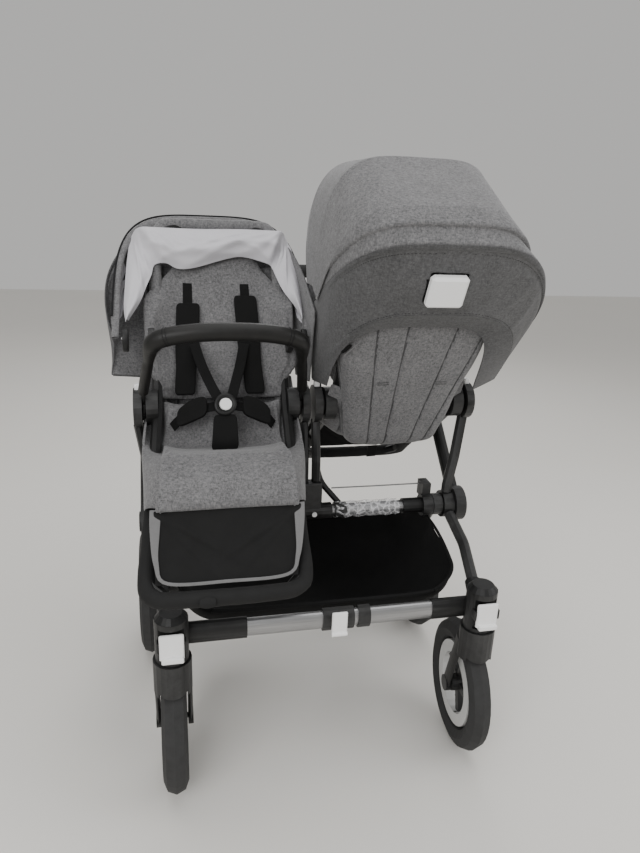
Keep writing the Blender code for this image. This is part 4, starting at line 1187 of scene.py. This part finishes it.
clipSettings = {"spot": (-0.062, 0.121), "long": 0.0215, "wide": 0.015, "thick": 0.011, "lean": 25.0, "dot": 0.0026,
                "places": ((-0.179, -1), (0.156, 1))}


def hoodClip(cfg):
    # black oval clip on each leg of the hood, with a small grey dot
    clips, dots = [], []
    y, z = cfg["spot"]
    for x, side in cfg["places"]:
        clip = turnedDisc(1.0, 1.0, turn=(0, math.pi / 2, 0), sides=40)
        clip.data.transform(Matrix.Translation((x, y, z - 0.004)) @ Matrix.Rotation(math.radians(cfg["lean"]), 4, "X")
                            @ Matrix.Diagonal((cfg["thick"], cfg["wide"], cfg["long"], 1)))
        applyModifier(clip, "BEVEL", width=0.0022, segments=4, limit_method="ANGLE")
        clips.append(clip)
        deselectEverything()
        bpy.ops.mesh.primitive_uv_sphere_add(segments=20, ring_count=10, radius=cfg["dot"])
        dots.append(bpy.context.object)
        dots[-1].data.transform(Matrix.Translation((x + side * cfg["thick"] * 0.48, y, z)))
    pieces = joinPieces("hoodClip", clips), joinPieces("hoodClipDot", dots)
    for piece, angle, look in zip(pieces, (35, 60), ("blackPlastic", "rim")):
        smoothOver(piece, angle)
        dress(piece, look)
    return pieces


for one in hoodClip(clipSettings):
    pairUp(one, "seat")

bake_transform(dome)
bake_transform(bundle)

# pale lining gathered under the folded hood, between the hoop and the frame's top bar
liningSettings = {
    "across": 110, "along": 40, "thick": 0.0014,
    "overBar": [(0.03, 0.373), (0.019, 0.37), (0.006, 0.356), (-0.005, 0.33), (0, 0.305), (0.01, 0.29)],
    "upper": [(-0.179, -0.044, 0.157), (-0.183, -0.029, 0.187), (-0.182, -0.002, 0.238), (-0.178, 0.038, 0.316),
              (-0.169, 0.064, 0.368), (-0.136, 0.074, 0.388), (-0.044, 0.078, 0.395), (0.05, 0.08, 0.399),
              (0.124, 0.075, 0.394), (0.152, 0.06, 0.369), (0.162, 0.04, 0.333), (0.164, 0.017, 0.284),
              (0.163, -0.03, 0.185), (0.157, -0.042, 0.16)],
    "lower": [(-0.176, -0.03, 0.163), (-0.153, -0.03, 0.2), (-0.141, -0.015, 0.235), (-0.131, 0, 0.264),
              (-0.124, 0.008, 0.288), (-0.102, 0.011, 0.292), (-0.063, 0.008, 0.28), (0.039, 0.012, 0.308),
              (0.1, 0.012, 0.296), (0.113, 0.011, 0.284), (0.118, 0.006, 0.268), (0.131, -0.01, 0.23),
              (0.148, -0.021, 0.2), (0.16, -0.03, 0.172)],
    # each upper corner with the way its folds run, and the lean and depth of the folds
    "corners": ((0.335, 1), (0.665, -1)),
    "inward": ((0.05, 0.005), (0.12, 0.006), (0.21, 0.005), (0.32, 0.0035)), "outward": ((-0.1, 0.004), (-0.22, 0.004))}


def liningSwag(cfg):
    upper, lower = matchedLine(cfg["upper"], 160), matchedLine(cfg["lower"], 160)
    overBar = sideLine(cfg["overBar"], 60)

    def shape(u, v):
        a, b = pointOn(upper, u), pointOn(lower, u)
        p = a.lerp(b, v)
        middle = easeStep((u - 0.28) / 0.1) * easeStep((0.72 - u) / 0.1)
        drop = pointOn(overBar, v)  # the middle is tucked under the top bar's sleeve and hangs before it
        p.y += (drop.y - p.y) * middle
        p.z += (drop.z + (b.z - cfg["overBar"][-1][1]) * v - p.z) * middle
        p.y -= 0.014 * math.sin(math.pi * v) * (1 - middle)
        for corner, reach in cfg["corners"]:
            for folds, width, run in ((cfg["inward"], 0.009 + 0.01 * v, v * 0.85 + 0.06),
                                      (cfg["outward"], 0.012, v * 0.9 + 0.05)):
                rise = math.sin(math.pi * min(1.0, run))
                for lean, deep in folds:
                    p.y -= deep * swellAt((u - corner) - reach * lean * v, 0.0, width) * rise
        p.y -= 0.004 * swellAt(v, 0.62 + 0.06 * math.sin(u * 17), 0.07) * middle
        return p + Vector((0, 1, 0.3)) * 0.0035 * noise.noise(Vector((u * 16, v * 3.5, 1.0)))
    piece = thickCloth(dress(layCloth("hoodLining_left", cfg["across"], cfg["along"], shape), "lining"), cfg["thick"])
    piece.data.transform(seatStand["left"])
    return piece


lining = liningSwag(liningSettings)
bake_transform(lining)

print("basket")

basketSettings = {"half": 0.215, "front": -0.2686, "length": 0.378, "rim": 0.35, "floor": 0.344, "deep": 0.11,
                  "thick": 0.0024, "endHem": 0.0042, "sideHem": 0.0032}


def basketPoint(t, s, cfg):
    # t runs across from side to side, s from the front hem to the rear one
    angle = math.pi * s
    half = cfg["half"] + 0.057 * math.sin(math.pi / 2 * min(1.0, s / 0.2)) - 0.018 * easeStep((s - 0.6) / 0.4)
    slope = 1 - 0.28 * max(0.0, 1 - abs(s - 0.22) / 0.22)
    bottom = cfg["floor"] - cfg["deep"] * math.sin(angle) ** 0.75 * slope - 0.014 * s
    edge = cfg["rim"] + 0.058 * math.sin(angle) ** 1.5
    side = abs(t) ** 5
    return Vector((half * math.copysign(1 - (1 - abs(t)) ** 1.4, t),
                   cfg["front"] + cfg["length"] * (s - 0.06 * math.sin(2 * angle)), bottom * (1 - side) + edge * side))


def basketBag(cfg):
    def shape(u, s):
        t = 2 * u - 1
        p = basketPoint(t, s, cfg)
        sag = math.sin(math.pi * s)
        p.z += 0.0035 * math.sin(9 * t + 3 * s) * sag * (1 - abs(t) ** 3)
        p.z += 0.004 * noise.noise(Vector((t * 4, s * 7, 2.0))) * sag
        pull = easeStep((abs(t) - 0.72) / 0.28)
        p.y += pull * 0.007 * math.sin(s * 26 + 3 * t)
        p.x -= math.copysign(1, t) * pull * 0.004 * math.sin(s * 21)
        return p
    return thickCloth(dress(layCloth("basketBag", 84, 60, shape), "basketCloth"), cfg["thick"])


def basketHem(cfg):
    ends = [tubeAlong("end", [basketPoint(2 * i / 69 - 1, s, cfg) for i in range(70)], cfg["endHem"])
            for s in (0.0, 1.0)]
    sides = [tubeAlong("side", [basketPoint(side, i / 49, cfg) for i in range(50)], cfg["sideHem"], roundness=2)
             for side in (-1, 1)]
    return dress(joinPieces("basketHem", ends + sides), "basketCloth")


basket = basketBag(basketSettings)
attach(basket, "chassis")
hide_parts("basket")
hem = basketHem(basketSettings)
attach(hem, "chassis")

print("bar film and wheel caps")

filmSettings = {"node": "mid_bar", "start": 0.056, "end": 0.195, "gap": 0.0008, "slack": 0.006, "waves": 70.0}
capSettings = {"front_rim": ("front_wheel", 0.015), "rear_rim": ("rear_wheel", 0.0165),
               # the turned rings of a cap: share of its radius, height over the rim's face
               "rings": [(1, -0.001), (1, 0.0012), (0.86, 0.0024), (0.62, 0.0024), (0.56, 0.001), (0.36, 0.001),
                         (0.3, 0.003), (0.0, 0.0034)], "tip": 0.0004}


def nodeBox(node):
    corners = [Vector(c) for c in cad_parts[node].bound_box]
    return (Vector([low(c[i] for c in corners) for i in range(3)]) for low in (min, max))


def barFilm(name, cfg):
    # clear crumpled film still wrapped round a silver bar
    low, high = nodeBox(cfg["node"])
    middle, half = (low + high) / 2, (high - low) / 2

    def shape(u, v):
        a = math.tau * v
        x = cfg["start"] + (cfg["end"] - cfg["start"]) * u
        wave = noise.noise(Vector((x * cfg["waves"], math.cos(a) * 2.2, math.sin(a) * 2.2)))
        away = cfg["gap"] + cfg["slack"] * (0.55 + 0.6 * wave)
        return Vector((x, middle.y + (half.y + away) * math.cos(a), middle.z + (half.z + away) * math.sin(a)))
    piece = layCloth(name, 70, 28, shape)
    turnOutward(piece)
    smoothOver(piece, 30)
    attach(dress(piece, "film"), "chassis")


barFilm("midBarFilm", filmSettings)


def wheelCap(node, body, radius, cfg):
    # turned cap and collar over the axle end, on both faces of the wheel
    low, high = nodeBox(node)
    middle = (low + high) / 2
    rings = [(max(radius * share, cfg["tip"]), rise) for share, rise in cfg["rings"]]
    caps = []
    for side, face in ((-1, low.x), (1, high.x)):
        def shape(u, v):
            at = v * (len(rings) - 1)
            i = min(int(at), len(rings) - 2)
            r, rise = mixed(rings[i], rings[i + 1], at - i)
            turn = math.tau * u
            return Vector((face + side * rise, middle.y + r * math.cos(turn), middle.z + r * math.sin(turn)))
        caps.append(layCloth("cap", 48, 21, shape))
        turnOutward(caps[-1])
    piece = joinPieces(node.replace("rim", "cap"), caps)
    smoothOver(piece, 30)
    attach(dress(piece, "spoke"), body)


for word in ("left", "right"):
    for rim in ("front_rim", "rear_rim"):
        body, radius = capSettings[rim]
        wheelCap(f"{rim}_{word}", f"{body}_{word}", radius, capSettings)

print("carried-over nodes")

# the nodes shown as the frame has them; a * stands for left and right
carried = {"blackPlastic": "hub_* front_housing_* front_clamp brake_pedal fork_* handle_tube_* seat_frame_* "
                           "centre_post",
           "blackPaint": "front_leg_* side_post_* rear_leg_* rear_bar", "silver": "mid_bar front_bar handle_bar",
           "grip": "handle_grip", "cable": "frame_cable", "tyre": "front_tyre_* rear_tyre_*",
           "frontRim": "front_rim_*", "rearRim": "rear_rim_*",
           "whitePlastic": "mid_button front_clip swivel_tab_* hinge_button_outer_* hinge_button_inner_* "
                           "buckle_button_* recline_handle_*"}
for name, nodes in carried.items():
    for node in nodes.split():
        for word in ("left", "right") if "*" in node else ("",):
            dress(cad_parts[node.replace("*", word)], name)
